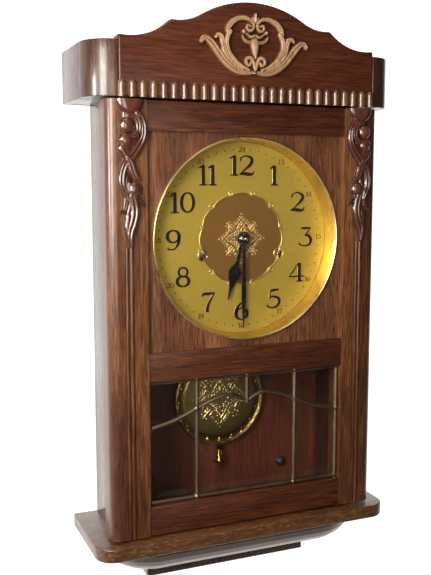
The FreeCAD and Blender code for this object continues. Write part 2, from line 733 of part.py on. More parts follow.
def make_strike():
    reach = math.hypot(pin_wheel_at[0] + wind_x, pin_wheel_at[1] + wind_drop)
    x, dz = pin_wheel_at
    z = dial_z + dz
    pinion_r = reach - great_r - mesh_gap
    lifts = []
    for i in range(lift_pins):
        turn = 2 * math.pi * i / lift_pins
        lifts.append(post(0.7, x + pin_circle_r * math.cos(turn), z + pin_circle_r * math.sin(turn),
                          third_layer + wheel_t, rear_y0 - 1))
    pinion = post(pinion_r, x, z, strike_layer - 1, strike_layer + 2)
    body = arbor([wheel(pin_wheel_r - mesh_gap, x, z, third_layer, 3, 0), pinion] + lifts, 1.6, x, z)
    save("pin_wheel", body)

    x, dz = fly_at
    z = dial_z + dz
    vane = box(x - 7, x + 7, escape_layer - 6, escape_layer + 2, z - 0.3, z + 0.3)
    pinion = post(fly_pinion_r - mesh_gap, x, z, third_layer - 1, third_layer + 2.5)
    save("fly", arbor([vane, pinion], 1.1, x, z))

    x, dz = hammer_at
    z = dial_z + dz
    staff = post(staff_r, x, z, front_y0, rear_y1 + 12)
    hammer_y = rear_y1 + 10
    head_x, head_z = -gong_x + gong_rod_r + 1.5, z + 34
    shank = plate([(x - 1.5, z - 1), (x + 1.5, z + 1), (head_x + 8, head_z + 1),
                   (head_x + 5, head_z - 1)], hammer_y, hammer_y + 1.5)
    head = rod(5.0, 11.0, (head_x, hammer_y + 0.75, head_z), (1, 0, 0))
    hub = post(3.0, x, z, hammer_y - 1, hammer_y + 2.5)
    tail = plate([(x - 1, z - 1.5), (x + 20, z - 4.5), (x + 20, z - 2.5), (x, z + 1.5)],
                 rear_y0 - 3, rear_y0 - 1.5)
    save("strike_hammer", fuse([staff, shank, head, hub, tail]))

    block_z = dial_z + 108
    rod_y = hammer_y + 0.75
    block = box(-gong_x - 12, -gong_x + 12, rod_y - 8, -back_t, block_z, block_z + 22)
    save("gong_block", block)
    rods = []
    for side in (-1, 1):
        spot = -gong_x + side * 3.5 - 3.5
        rods.append(rod(gong_rod_r, gong_rod_l, (spot, rod_y, block_z), (0, 0, -1)))
    save("gong_rods", *rods)


def hand_blank(half, y0):
    """Hand pointing to twelve from (distance, half width) pairs."""
    outline = [(w, r) for r, w in half] + [(-w, r) for r, w in reversed(half)]
    return plate(outline, y0, y0 + hand_t)


def make_hands():
    """Hands at half past six."""
    hour_y = behind(hour_d)
    minute_y = behind(minute_d)
    shape = [(0.059, 1.9), (0.426, 1.7), (0.471, 3.4), (0.515, 5.6), (0.559, 6.2), (0.618, 5.4),
             (0.706, 3.2), (0.794, 1.6), (1, 0.5)]
    half = [(share * hour_l, w) for share, w in shape]
    hour = hand_blank(half, hour_y)
    hour = hour.cut(post(4, 0, 0, hour_y - 1, hour_y + 2))
    hour = fuse([hour, ring(hub_r - 1.5, cannon_r + pivot_clear, 0, 0, hour_y, hour_y + hand_t)])
    hour.rotate(V(0, 0, 0), V(0, 1, 0), 180 + 30 * 0.5)
    hour.translate(V(0, 0, dial_z))
    save("hour_hand", hour)

    shape = [(0.041, 1.7), (0.515, 2.6), (0.639, 2.7), (0.742, 2.2), (1, 0.5)]
    half = [(share * minute_l, w) for share, w in shape]
    blade = hand_blank(half, minute_y)
    hub = post(hub_r, 0, 0, minute_y - hub_t, minute_y + hand_t)
    bore = centre_arbor_r + pivot_clear
    minute = fuse([blade, hub]).cut(post(bore, 0, 0, minute_y - 2, minute_y + 2))
    minute.rotate(V(0, 0, 0), V(0, 1, 0), 180)
    minute.translate(V(0, 0, dial_z))
    save("minute_hand", minute)
    nut_y = minute_y - hub_t
    nut = turned([
        (bore, nut_y), (hub_r - 1, nut_y), (hub_r - 2.4, nut_y - 1.6), (hub_r - 5, nut_y - 2.6),
        (bore, nut_y - 3.0),
    ], 0, dial_z)
    save("hand_nut", nut)


# ---- pendulum ------------------------------------------------------------
def make_pendulum():
    arm = box(-cock_half, cock_half, rear_y1, pendulum_y + 5, pivot_z + 5, pivot_z + 9)
    cheek = box(-cock_half, cock_half, pendulum_y - 5, pendulum_y + 5, pivot_z - 1, pivot_z + 5)
    foot = box(-9, 9, rear_y1, rear_y1 + 2, pivot_z + 2.5, pivot_z + 9)
    cock = fuse([arm, cheek, foot])
    cock = cock.cut(box(-cock_slot / 2, cock_slot / 2, pendulum_y - 6, pendulum_y + 6,
                        pivot_z - 2, pivot_z + 4))
    save("suspension_cock", cock)

    spring = box(-0.1, 0.1, pendulum_y - 3, pendulum_y + 3, pivot_z - spring_l, pivot_z + 2)
    rod_top = pivot_z - spring_l - chop_h
    chop = box(-2.5, 2.5, pendulum_y - 4, pendulum_y + 4, rod_top, pivot_z - spring_l)
    save("suspension_spring", fuse([spring, chop]))

    bob_z = dial_z - bob_drop
    nut_top = bob_z - bob_r - 0.5
    stem = rod(rod_r, rod_top - (nut_top - 20), (0, pendulum_y, nut_top - 20), (0, 0, 1))
    save("pendulum_rod", stem)

    half = bob_t / 2
    lens = turned([
        (0, pendulum_y - half), (0.55 * bob_r, pendulum_y - 0.8 * half),
        (bob_r - 1.5, pendulum_y - 0.25 * half), (bob_r, pendulum_y),
        (bob_r - 1.5, pendulum_y + 0.25 * half), (0.55 * bob_r, pendulum_y + 0.8 * half),
        (0, pendulum_y + half),
    ], 0, bob_z)
    lens = lens.cut(rod(rod_r + rod_clear, 3 * bob_r, (0, pendulum_y, bob_z - 1.5 * bob_r), (0, 0, 1)))
    save("pendulum_bob", lens)

    nut = turned_z([
        (rod_r + rod_clear, nut_top), (3.6, nut_top), (3.0, nut_top - 6), (6.0, nut_top - 11),
        (3.4, nut_top - 16),
        (7.6, nut_top - 18.5), (7.6, nut_top - 20.5), (2.6, nut_top - 24), (0, nut_top - 32),
        (0, nut_top - 24), (rod_r + rod_clear, nut_top - 24),
    ], 0, pendulum_y)
    save("rating_nut", nut)


# ---- wall fixings --------------------------------------------------------
def make_fixings():
    hanger = hanger_blank().cut(post(hanger_hole_r, 0, 0, -hanger_t - 1, 1))
    screws = []
    for side in (-1, 1):
        screw = sunk_screw(side * hanger_screw_x)
        hanger = hanger.cut(screw).cut(post(3.2, side * hanger_screw_x, 0, -0.1, 1))
        screws.append(screw)
        for dz in (-plate_down - 11, -plate_down + 22):
            seat = -back_t - 3
            head = [(0, seat - 1.8), (2.4, seat - 1.2), (3.4, seat), (0, seat)]
            screws.append(turned(head, side * (plate_half - 5), dial_z + dz))
    save("hanger_plate", hanger)
    save("wood_screws", *screws)

    steady = []
    for side in (-1, 1):
        x = side * steady_x
        z = dial_z - steady_drop
        reach = steady_head_r + 1
        room = box(x - reach, x + reach, -back_t - reach, -back_t, z - reach, z + reach)
        head = Part.makeSphere(steady_head_r, V(x, -back_t, z)).common(room)
        steady.append(head.fuse(post(screw_r - 0.05, x, z, -back_t, -0.2)).removeSplitter())
    save("steady_screws", *steady)


make_case()
make_crown()
make_base()
make_door()
make_hinges()
make_catch()
make_plates()
make_trains()
make_strike()
make_hands()
make_pendulum()
make_fixings()
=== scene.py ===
import json
import math

import bmesh
import bpy
import numpy as np
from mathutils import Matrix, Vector


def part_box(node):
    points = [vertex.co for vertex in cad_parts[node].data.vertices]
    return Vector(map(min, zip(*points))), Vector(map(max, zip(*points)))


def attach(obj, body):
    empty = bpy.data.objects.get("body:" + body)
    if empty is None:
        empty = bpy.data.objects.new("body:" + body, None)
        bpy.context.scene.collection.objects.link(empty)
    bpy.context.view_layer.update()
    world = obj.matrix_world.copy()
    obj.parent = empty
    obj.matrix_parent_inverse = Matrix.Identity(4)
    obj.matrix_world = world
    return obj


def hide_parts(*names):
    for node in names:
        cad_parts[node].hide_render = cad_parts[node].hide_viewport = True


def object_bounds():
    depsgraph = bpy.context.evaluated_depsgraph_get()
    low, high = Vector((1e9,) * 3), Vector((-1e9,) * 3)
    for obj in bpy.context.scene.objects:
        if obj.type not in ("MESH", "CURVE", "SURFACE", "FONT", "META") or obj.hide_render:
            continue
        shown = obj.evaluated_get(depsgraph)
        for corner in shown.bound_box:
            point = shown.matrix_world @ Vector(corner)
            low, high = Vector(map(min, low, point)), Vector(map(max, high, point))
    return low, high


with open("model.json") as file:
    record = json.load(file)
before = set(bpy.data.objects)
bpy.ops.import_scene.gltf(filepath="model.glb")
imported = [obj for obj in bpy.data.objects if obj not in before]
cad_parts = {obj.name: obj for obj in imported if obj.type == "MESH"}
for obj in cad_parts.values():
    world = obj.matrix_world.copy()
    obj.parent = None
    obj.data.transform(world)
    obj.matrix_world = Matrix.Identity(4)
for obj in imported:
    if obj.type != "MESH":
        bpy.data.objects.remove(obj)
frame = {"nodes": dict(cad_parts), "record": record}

# Pendulum wall clock.  Metres.  +X right, +Y into the wall, +Z up.
MM = 0.001
CAD_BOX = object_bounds()
NODES = frame["nodes"]


def box_of(node):
    low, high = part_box(node)
    return np.array(low), np.array(high)


# ---- places read from the frame --------------------------------------------
BEZEL_LOW, BEZEL_HIGH = box_of("bezel")
DIAL_X = (BEZEL_LOW[0] + BEZEL_HIGH[0]) / 2
DIAL_Z = (BEZEL_LOW[2] + BEZEL_HIGH[2]) / 2
DIAL_FACE = box_of("dial_plate")[0][1]
BEZEL_R = (BEZEL_HIGH[0] - BEZEL_LOW[0]) / 2
THROAT_R = BEZEL_R - 5.4 * MM  # the slope inside the lip is this wide
BOB_LOW, BOB_HIGH = box_of("pendulum_bob")
BOB_Z = (BOB_LOW[2] + BOB_HIGH[2]) / 2
BOB_R = (BOB_HIGH[0] - BOB_LOW[0]) / 2
BOB_Y = (BOB_LOW[1] + BOB_HIGH[1]) / 2


# ---- materials ---------------------------------------------------------------
class Finish:
    """A Principled material with short calls for the nodes that feed it."""

    def __init__(self, name, **sockets):
        self.made = bpy.data.materials.new(name)
        self.made.use_nodes = True
        self.tree = self.made.node_tree
        self.shader = next(n for n in self.tree.nodes if n.type == "BSDF_PRINCIPLED")
        coord = self.node("ShaderNodeTexCoord")
        self.place = coord.outputs["Object"]
        for key, value in sockets.items():
            self.shader.inputs[key.replace("_", " ")].default_value = value

    def node(self, kind, **values):
        node = self.tree.nodes.new(kind)
        for key, value in values.items():
            setattr(node, key, value)
        return node

    def link(self, source, target):
        self.tree.links.new(source, target)

    def feed(self, value, socket):
        """Another node's output, a colour or a number into a socket."""
        if isinstance(value, bpy.types.NodeSocket):
            self.link(value, socket)
        elif isinstance(value, (tuple, list)):
            socket.default_value = (*value, 1)
        else:
            socket.default_value = value

    def scaled(self, scale):
        mapping = self.node("ShaderNodeMapping")
        self.link(self.place, mapping.inputs["Vector"])
        mapping.inputs["Scale"].default_value = scale
        return mapping.outputs["Vector"]

    def noise(self, vector, detail=4.0, rough=0.55, twist=0.0):
        noise = self.node("ShaderNodeTexNoise")
        self.link(vector, noise.inputs["Vector"])
        noise.inputs["Scale"].default_value = 1.0
        noise.inputs["Detail"].default_value = detail
        noise.inputs["Roughness"].default_value = rough
        noise.inputs["Distortion"].default_value = twist
        return noise.outputs["Fac"]

    def ramp(self, source, *stops):
        ramp = self.node("ShaderNodeValToRGB")
        self.link(source, ramp.inputs["Fac"])
        marks = ramp.color_ramp.elements
        while len(marks) < len(stops):
            marks.new(0.5)
        for mark, (spot, colour) in zip(marks, stops):
            mark.position = spot
            if not isinstance(colour, (tuple, list)):
                colour = (colour, colour, colour)
            mark.color = (*colour, 1)
        return ramp.outputs["Color"]

    def mix(self, factor, first, second, way="MIX"):
        mix = self.node("ShaderNodeMix", data_type="RGBA", blend_type=way)
        for socket, value in ((mix.inputs["Factor"], factor), (mix.inputs[6], first),
                              (mix.inputs[7], second)):
            self.feed(value, socket)
        return mix.outputs[2]

    def maths(self, way, first, second):
        node = self.node("ShaderNodeMath", operation=way)
        for socket, value in zip(node.inputs, (first, second)):
            self.feed(value, socket)
        return node.outputs[0]

    def attribute(self, name):
        return self.node("ShaderNodeAttribute", attribute_name=name).outputs["Fac"]

    def bump(self, height, depth, strength=1.0):
        bump = self.node("ShaderNodeBump")
        bump.inputs["Distance"].default_value = depth
        bump.inputs["Strength"].default_value = strength
        self.link(height, bump.inputs["Height"])
        self.link(bump.outputs["Normal"], self.shader.inputs["Normal"])

    def paint(self, socket, source):
        self.link(source, self.shader.inputs[socket])


def along(axis, across, lengthwise):
    """Texture scale for grain that runs along an axis."""
    scale = [across, across, across]
    scale["XYZ".index(axis)] = lengthwise
    return scale


def wood(name, axis, dark, mid, light, rough=0.36, coat=0.35, pores=0.5, worn=0.0, **sockets):
    """Stained timber: broad figure, fibres, dark open pores and a polish over them."""
    m = Finish(name, Coat_Weight=coat, Coat_Roughness=0.16, **sockets)
    figure = m.noise(m.scaled(along(axis, 22, 2.4)), 5, 0.6, 0.9)
    fibre = m.noise(m.scaled(along(axis, 620, 30)), 4, 0.65)
    blotch = m.noise(m.scaled(along(axis, 7, 3)), 2)
    pore = m.ramp(m.noise(m.scaled(along(axis, 1300, 75)), 2), (0.55, 0.0), (0.66, 1.0))
    blend = m.maths("ADD", m.maths("MULTIPLY", figure, 0.45), m.maths("MULTIPLY", fibre, 0.55))
    colour = m.ramp(blend, (0.36, dark), (0.5, mid), (0.64, light))
    colour = m.mix(m.ramp(blotch, (0.42, 0.0), (0.72, 0.45)), colour, dark)
    colour = m.mix(m.maths("MULTIPLY", pore, pores), colour, tuple(0.3 * c for c in dark))
    if worn:
        lightening = m.ramp(m.noise(m.scaled((150, 500, 520)), 5, 0.7), (0.5, 0.0), (0.64, worn))
        colour = m.mix(lightening, colour, (0.34, 0.17, 0.055))
    m.paint("Base Color", colour)
    m.paint("Roughness", m.ramp(fibre, (0.3, rough - 0.07), (0.7, rough + 0.1)))
    height = m.maths("SUBTRACT", m.maths("MULTIPLY", fibre, 0.5), pore)
    m.bump(height, 0.12 * MM, 0.6)
    return m.made


def metal(name, colour, tarnish, rough=0.2, spots=0.35, brushed=None, **sockets):
    """Metal with tarnish in soft patches and fine rubbing marks."""
    m = Finish(name, **{"Metallic": 1.0, **sockets})
    patch = m.noise(m.scaled((38, 38, 38)), 5, 0.6)
    fleck = m.noise(m.scaled((900, 900, 900)), 2)
    shade = m.mix(m.ramp(patch, (0.38, 0.0), (0.74, spots)), colour, tarnish)
    shade = m.mix(m.ramp(fleck, (0.62, 0.0), (0.74, 0.5 * spots)), shade, tarnish)
    m.paint("Base Color", shade)
    marks = m.noise(m.scaled(brushed or (500, 500, 60)), 3)
    m.paint("Roughness", m.ramp(marks, (0.3, max(0.04, rough - 0.06)), (0.72, rough + 0.1)))
    m.bump(marks, 0.02 * MM, 0.25)
    return m.made


def raised_metal(name, low, high, rough, **sockets):
    """Pressed sheet metal: dark in the hollows, rubbed bright where it stands up."""
    m = Finish(name, **{"Metallic": 1.0, **sockets})
    grain = m.noise(m.scaled((700, 700, 700)), 3)
    patch = m.noise(m.scaled((30, 30, 30)), 4)
    lift = m.attribute("lift")
    shade = m.mix(m.ramp(lift, (0.05, 0.0), (0.75, 1.0)), low, high)
    shade = m.mix(m.ramp(patch, (0.4, 0.0), (0.75, 0.25)), shade, low)
    m.paint("Base Color", shade)
    m.paint("Roughness", m.ramp(grain, (0.3, rough - 0.05), (0.7, rough + 0.1)))
    m.bump(grain, 0.04 * MM, 0.4)
    return m.made


def glass(name, haze=0.02):
    """Thin clear glass: it mirrors a little face on and more at a glancing angle."""
    m = Finish(name, Metallic=1.0, Base_Color=(0.95, 0.97, 0.96, 1))
    facing = m.node("ShaderNodeLayerWeight")
    facing.inputs["Blend"].default_value = 0.5
    shine = m.ramp(facing.outputs["Facing"], (0.0, 0.035), (0.45, 0.05), (0.75, 0.16), (1.0, 0.8))
    smear = m.ramp(m.noise(m.scaled((14, 14, 5)), 5, 0.6, 0.6), (0.45, 0.0), (0.8, haze))
    m.paint("Alpha", m.maths("ADD", shine, smear))
    m.paint("Roughness", m.ramp(m.noise(m.scaled((30, 30, 30)), 3), (0.35, 0.015), (0.75, 0.07)))
    return m.made


def paint(name, colour, rough=0.25, **sockets):
    m = Finish(name, **sockets)
    wear = m.noise(m.scaled((260, 260, 260)), 4)
    m.paint("Base Color", m.mix(m.ramp(wear, (0.5, 0.0), (0.8, 0.5)), colour,
                                tuple(3 * c + 0.004 for c in colour)))
    m.paint("Roughness", m.ramp(wear, (0.3, rough - 0.05), (0.75, rough + 0.15)))
    m.bump(wear, 0.03 * MM, 0.3)
    return m.made


def carved(name, deep, body, lightening, rough=0.25, coat=0.6):
    """Carved timber: dark in the cuts as painted shade, lighter on the crests as painted highlight."""
    m = Finish(name, Coat_Weight=coat, Coat_Roughness=0.12)
    lift = m.attribute("lift")
    grain = m.noise(m.scaled((300, 300, 60)), 4)
    patch = m.noise(m.scaled((90, 90, 90)), 4, 0.6)
    # painted shade in the cuts and painted highlight on the crests, set by the carving's height
    colour = m.ramp(lift, (0.08, deep), (0.45, body), (0.95, lightening))
    colour = m.mix(m.ramp(patch, (0.46, 0.0), (0.66, 0.55)), colour, body)
    colour = m.mix(m.ramp(grain, (0.52, 0.0), (0.72, 0.5)), colour, deep)
    m.paint("Base Color", colour)
    m.paint("Roughness", m.ramp(grain, (0.3, rough), (0.7, rough + 0.2)))
    m.bump(grain, 0.1 * MM, 0.5)
    return m.made


WALNUT = wood("dark walnut", "Z", (0.022, 0.008, 0.005), (0.05, 0.018, 0.009), (0.095, 0.036, 0.015), 0.3,
              0.5)
FIGURED = wood("figured walnut", "X", (0.030, 0.0075, 0.0035), (0.088, 0.0195, 0.006), (0.16, 0.040, 0.012),
               0.38, 0.2)
REED_WOOD = wood("reed walnut", "Z", (0.04, 0.013, 0.006), (0.12, 0.048, 0.018), (0.26, 0.13, 0.055), 0.2,
                 0.9)
BASE_WOOD = wood("rubbed walnut", "X", (0.03, 0.011, 0.005), (0.075, 0.028, 0.010), (0.13, 0.055, 0.018),
                 0.34, 0.4,
                 worn=0.45)
STILE_WOOD = wood("stile oak", "Z", (0.035, 0.010, 0.004), (0.115, 0.037, 0.012), (0.26, 0.105, 0.032), 0.36,
                  0.4, 0.8)
RAIL_WOOD = wood("rail oak", "X", (0.03, 0.008, 0.0035), (0.08, 0.019, 0.006), (0.15, 0.042, 0.012), 0.38,
                 0.25, 0.8)
MASK_WOOD = wood("mask oak", "Z", (0.045, 0.014, 0.006), (0.13, 0.045, 0.017), (0.28, 0.115, 0.042), 0.42,
                 0.2, 0.95)
PANEL_WOOD = wood("back board", "Z", (0.06, 0.015, 0.006), (0.13, 0.032, 0.012), (0.19, 0.052, 0.02), 0.5,
                  0.1)
APRON_WOOD = wood("apron walnut", "X", (0.02, 0.008, 0.005), (0.045, 0.018, 0.01), (0.08, 0.03, 0.014), 0.28,
                  0.6)
# Both carvings are coloured with painted shade in their cuts and painted highlight on their crests.
CARVED_WOOD = carved("carved drop", (0.010, 0.003, 0.002), (0.05, 0.0125, 0.007), (0.13, 0.042, 0.024), 0.14,
                     0.9)
GILT = carved("gilt carving with painted shade and highlight", (0.035, 0.014, 0.008), (0.17, 0.075, 0.032), (0.46, 0.27, 0.15), 0.42, 0.1)
BRASS = metal("polished brass", (0.80, 0.55, 0.20), (0.35, 0.19, 0.05), 0.16, 0.4)
BEZEL_BRASS = metal("bezel brass", (0.80, 0.61, 0.29), (0.58, 0.40, 0.16), 0.31, 0.18, (110, 110, 110))
OLD_BRASS = metal("aged brass", (0.55, 0.38, 0.14), (0.2, 0.12, 0.04), 0.34, 0.6)
FINE_PRINT = metal("etched figure", (0.20, 0.125, 0.04), (0.09, 0.05, 0.02), 0.4, 0.5)
DIAL_BRASS = metal("satin dial brass", (0.70, 0.51, 0.085), (0.55, 0.38, 0.06), 0.44, 0.4, (700, 700, 700),
                   Metallic=0.6)
DIAL_DISC = raised_metal("bronzed centre", (0.37, 0.195, 0.05), (0.86, 0.62, 0.27), 0.46, Metallic=0.7)
BOB_BRASS = raised_metal("pressed bob brass", (0.36, 0.22, 0.06), (0.92, 0.70, 0.28), 0.32)
FIGURE_RIM = metal("figure edge", (0.72, 0.58, 0.26), (0.45, 0.33, 0.12), 0.34, 0.3)
STEEL = metal("bright steel", (0.55, 0.54, 0.52), (0.2, 0.17, 0.14), 0.26, 0.5)
CAME = metal("dull came", (0.24, 0.19, 0.12), (0.09, 0.06, 0.035), 0.4, 0.6)
BLACK = paint("gloss black", (0.008, 0.007, 0.007), 0.2, Coat_Weight=0.6, Coat_Roughness=0.1)
INK = paint("dial black", (0.014, 0.010, 0.006), 0.4)
IRON = paint("blackened iron", (0.02, 0.019, 0.018), 0.35)
GLASS = glass("clear glass")
PANE_GLASS = glass("bevelled glass", 0.03)

BY_SLOT = {
    "walnut": WALNUT, "walnut_figured": FIGURED, "walnut_worn": BASE_WOOD, "stile_wood": STILE_WOOD,
    "rail_wood": RAIL_WOOD, "mask_wood": MASK_WOOD, "panel_wood": PANEL_WOOD, "carved_wood": CARVED_WOOD,
    "gilt_carving": GILT, "brass_polished": BRASS, "brass_aged": OLD_BRASS, "dial_brass": DIAL_BRASS,
    "came_metal": CAME, "glass": GLASS, "steel": STEEL, "iron_black": IRON, "black_hand": BLACK,
}
SLOT_OF = {p["node"]: p["material_slot"] for p in frame["record"]["subparts"]}
BODY_OF = {n: b for b, ns in frame["record"]["behaviour"]["bodies"].items() for n in ns}
for node_name, node_object in NODES.items():
    node_object.data.materials.clear()
    node_object.data.materials.append(BY_SLOT[SLOT_OF[node_name]])


# ---- making pieces -----------------------------------------------------------
def finish_mesh(mesh, sharp=35):
    mesh.validate()
    for polygon in mesh.polygons:
        polygon.use_smooth = True
    mesh.set_sharp_from_angle(angle=math.radians(sharp))


def linked(name, data):
    made = bpy.data.objects.new(name, data)
    bpy.context.scene.collection.objects.link(made)
    return made


def baked(holder):
    """The holder's finished mesh; the holder itself is thrown away."""
    made = bpy.data.meshes.new_from_object(holder.evaluated_get(bpy.context.evaluated_depsgraph_get()))
    bpy.data.objects.remove(holder)
    return made


def place(name, mesh, material, stands_for=(), body=None, slot=None, sharp=35):
    if material:
        mesh.materials.clear()
        mesh.materials.append(material)
    finish_mesh(mesh, sharp)
    piece = linked(name, mesh)
    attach(piece, body or BODY_OF[stands_for[0]])
    if stands_for:
        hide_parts(*stands_for)
        slot = slot or SLOT_OF[stands_for[0]]
    return piece


def mesh_of(points, faces, lift=None):
    mesh = bpy.data.meshes.new("mesh")
    mesh.from_pydata([tuple(p) for p in points], [], [tuple(int(i) for i in f) for f in faces])
    if lift is not None:
        mesh.attributes.new("lift", "FLOAT", "POINT").data.foreach_set("value", np.asarray(lift, np.float32))
    return mesh


def joined(*parts):
    """One (points, faces) pair from several."""
    points = []
    faces = []
    for part_points, part_faces in parts:
        start = len(points)
        points += [tuple(p) for p in part_points]
        faces += [tuple(i + start for i in f) for f in part_faces]
    return points, faces


def outward(mesh):
    """Makes every face of closed shells point outwards."""
    work = bmesh.new()
    work.from_mesh(mesh)
    bmesh.ops.recalc_face_normals(work, faces=work.faces)
    work.to_mesh(mesh)
    work.free()
    return mesh


def turned(profile, x, z, steps=160):
    """Closed ring or disc turned about a Y axis from (radius, y) points."""
    points = []
    rows = []
    for radius, y in profile:
        if radius < 1e-6:
            rows.append([len(points)] * steps)
            points.append((x, y, z))
            continue
        rows.append(list(range(len(points), len(points) + steps)))
        for i in range(steps):
            turn = 2 * math.pi * i / steps
            points.append((x + radius * math.cos(turn), y, z + radius * math.sin(turn)))
    faces = []
    closed = profile[0][0] > 1e-6 and profile[-1][0] > 1e-6
    pairs = list(zip(rows, rows[1:])) + ([(rows[-1], rows[0])] if closed else [])
    for one, two in pairs:
        for i in range(steps):
            j = (i + 1) % steps
            loop = [one[i], one[j], two[j], two[i]]
            loop = [v for k, v in enumerate(loop) if v != loop[k - 1]]
            if len(loop) > 2:
                faces.append(loop)
    return points, faces


def lathe(profile, x, z, steps):
    return outward(mesh_of(*turned(profile, x, z, steps)))


def shell(*parts):
    return outward(mesh_of(*joined(*parts)))


def section(rows, y, radius=0.0):
    """Rows of (radius, depth) in millimetres as points for turned()."""
    return [(radius + r * MM, y + d * MM) for r, d in rows]


def smooth_line(marks, per=8):
    """Even curve through rows of numbers, the first two of them x and z."""
    marks = np.array(marks, float)
    if len(marks) == 2:
        t = np.linspace(0, 1, per + 1)[:, None]
        return marks[0] * (1 - t) + marks[1] * t
    padded = np.vstack([2 * marks[0] - marks[1], marks, 2 * marks[-1] - marks[-2]])
    rows = []
    for i in range(1, len(padded) - 2):
        a, b, c, d = padded[i - 1:i + 3]
        for t in np.arange(per) / per:
            rows.append(0.5 * (2 * b + (c - a) * t + (2 * a - 5 * b + 4 * c - d) * t * t
                               + (3 * b - a - 3 * c + d) * t ** 3))
    rows.append(marks[-1])
    rows = np.array(rows)
    if rows.shape[1] > 2:
        rows[:, 2] = np.maximum(rows[:, 2], 1e-5)
    return rows


def stroke(marks, front, depth, chamfer, per=6):
    """Raised bar of changing width: marks are (x, z, half width), the face is at y = front."""
    line = smooth_line(marks, per)
    along_line = np.gradient(line[:, :2], axis=0)
    along_line /= np.linalg.norm(along_line, axis=1)[:, None] + 1e-12
    side = np.stack([-along_line[:, 1], along_line[:, 0]], 1)
    rings = []
    for sign, shrink, y in ((1, 0, front + depth), (1, 0, front + chamfer), (1, chamfer, front),
                            (-1, chamfer, front), (-1, 0, front + chamfer), (-1, 0, front + depth)):
        half = np.maximum(line[:, 2] - shrink, line[:, 2] * 0.4)
        spot = line[:, :2] + sign * side * half[:, None]
        rings.append(np.stack([spot[:, 0], np.full(len(line), y), spot[:, 1]], 1))
    count = len(line)
    points = np.stack(rings, 1).reshape(-1, 3)
    faces = []
    for i in range(count - 1):
        for k in range(6):
            m = (k + 1) % 6
            faces.append((i * 6 + k, i * 6 + m, (i + 1) * 6 + m, (i + 1) * 6 + k))
    faces.append(tuple(range(6)))
    faces.append(tuple(reversed(range((count - 1) * 6, count * 6))))
    return points, faces


def eased_edges(node, width):
    """The same board with its sharp edges eased, as a hand plane leaves them."""
    mesh = NODES[node].data.copy()
    work = bmesh.new()
    work.from_mesh(mesh)
    bmesh.ops.remove_doubles(work, verts=work.verts, dist=2e-6)
    bmesh.ops.dissolve_limit(work, angle_limit=math.radians(0.3), verts=work.verts, edges=work.edges)
    work.to_mesh(mesh)
    work.free()
    holder = linked("holder", mesh)
    bevel = holder.modifiers.new("ease", "BEVEL")
    bevel.width = width
    bevel.segments = 3
    bevel.limit_method = "ANGLE"
    bevel.angle_limit = math.radians(30)
    bevel.use_clamp_overlap = True
    made = baked(holder)
    if made.attributes.get("custom_normal"):
        made.attributes.remove(made.attributes["custom_normal"])
    return place(node + "_board", made, BY_SLOT[SLOT_OF[node]], (node,), sharp=40)


for board, ease in (("pediment", 2.2), ("crown_corners", 0.7), ("crown_sides", 0.7), ("base_board", 1.6),
                    ("bottom_strip", 1.0), ("door_top_rail", 0.6), ("door_mid_rail", 0.8),
                    ("door_foot_rail", 0.8), ("case_sides", 0.6), ("crown_decks", 0.5)):
    eased_edges(board, ease * MM)
NODES["apron"].data.materials[0] = APRON_WOOD


# ---- relief carving ------------------------------------------------------------
def relief(strokes, cell, base):
    """Height of a carving over flat ground, from (marks, height, groove) with marks (x, z, half width)."""
    lines = []
    for marks, height, groove in strokes:
        line = smooth_line(marks, 14) if len(marks) > 1 else np.array(marks, float)
        lines.append((line, height, groove))
    every = np.vstack([line for line, _, _ in lines])
    reach = every[:, 2].max()
    xs = np.arange(every[:, 0].min() - reach, every[:, 0].max() + reach, cell)
    zs = np.arange(every[:, 1].min() - reach, every[:, 1].max() + reach, cell)
    grid_x, grid_z = np.meshgrid(xs, zs, indexing="ij")
    high = np.full(grid_x.shape, -1.0)
    for line, height, groove in lines:
        best = np.full(grid_x.shape, 9.0)
        for x, z, half in line[:, :3]:
            best = np.minimum(best, np.hypot(grid_x - x, grid_z - z) / half)
        inside = best < 1
        crown = height * np.sqrt(np.clip(1 - best ** 2, 0, 1)) ** 0.8
        if groove:
            crown -= height * groove * np.exp(-(best / 0.28) ** 2)
        thick = np.where(inside, np.maximum(crown, 0.12 * height) + base, -1.0)
        high = np.where(thick > high, thick, high)
    return xs, zs, high


def carving_mesh(field, ground):
    """Closed solid between the carving's face and the ground plane at y = ground."""
    xs, zs, high = field
    keep = high > 0
    cells = keep[:-1, :-1] & keep[1:, :-1] & keep[1:, 1:] & keep[:-1, 1:]
    used = np.zeros(high.shape, bool)
    for a, b in ((0, 0), (1, 0), (1, 1), (0, 1)):
        used[a:a + cells.shape[0], b:b + cells.shape[1]] |= cells
    index = np.full(high.shape, -1)
    index[used] = np.arange(used.sum())
    grid_x, grid_z = np.meshgrid(xs, zs, indexing="ij")
    count = int(used.sum())
    front = np.stack([grid_x[used], ground - high[used], grid_z[used]], 1)
    back = np.stack([grid_x[used], np.full(count, ground + 0.2 * MM), grid_z[used]], 1)
    i, j = np.nonzero(cells)
    a, b, c, d = index[i, j], index[i + 1, j], index[i + 1, j + 1], index[i, j + 1]
    faces = list(zip(a, b, c, d))
    faces += list(zip(d + count, c + count, b + count, a + count))
    edges = {}
    for loop in zip(a, b, c, d):
        for p, q in zip(loop, loop[1:] + loop[:1]):
            edges[(p, q)] = 1
    for p, q in list(edges):
        if (q, p) not in edges:
            faces.append((q, p, p + count, q + count))
    points = np.vstack([front, back])
    top = high[used].max()
    lift = np.concatenate([high[used] / top, np.zeros(count)])
    return mesh_of(points, faces, lift)


def spiral(x, z, start_r, end_r, start, turns, half0, half1, steps=9):
    marks = []
    for i in range(steps + 1):
        t = i / steps
        radius = start_r + (end_r - start_r) * t
        turn = math.radians(start) + 2 * math.pi * turns * t
        marks.append((x + radius * math.cos(turn), z + radius * math.sin(turn), half0 + (half1 - half0) * t))
    return marks


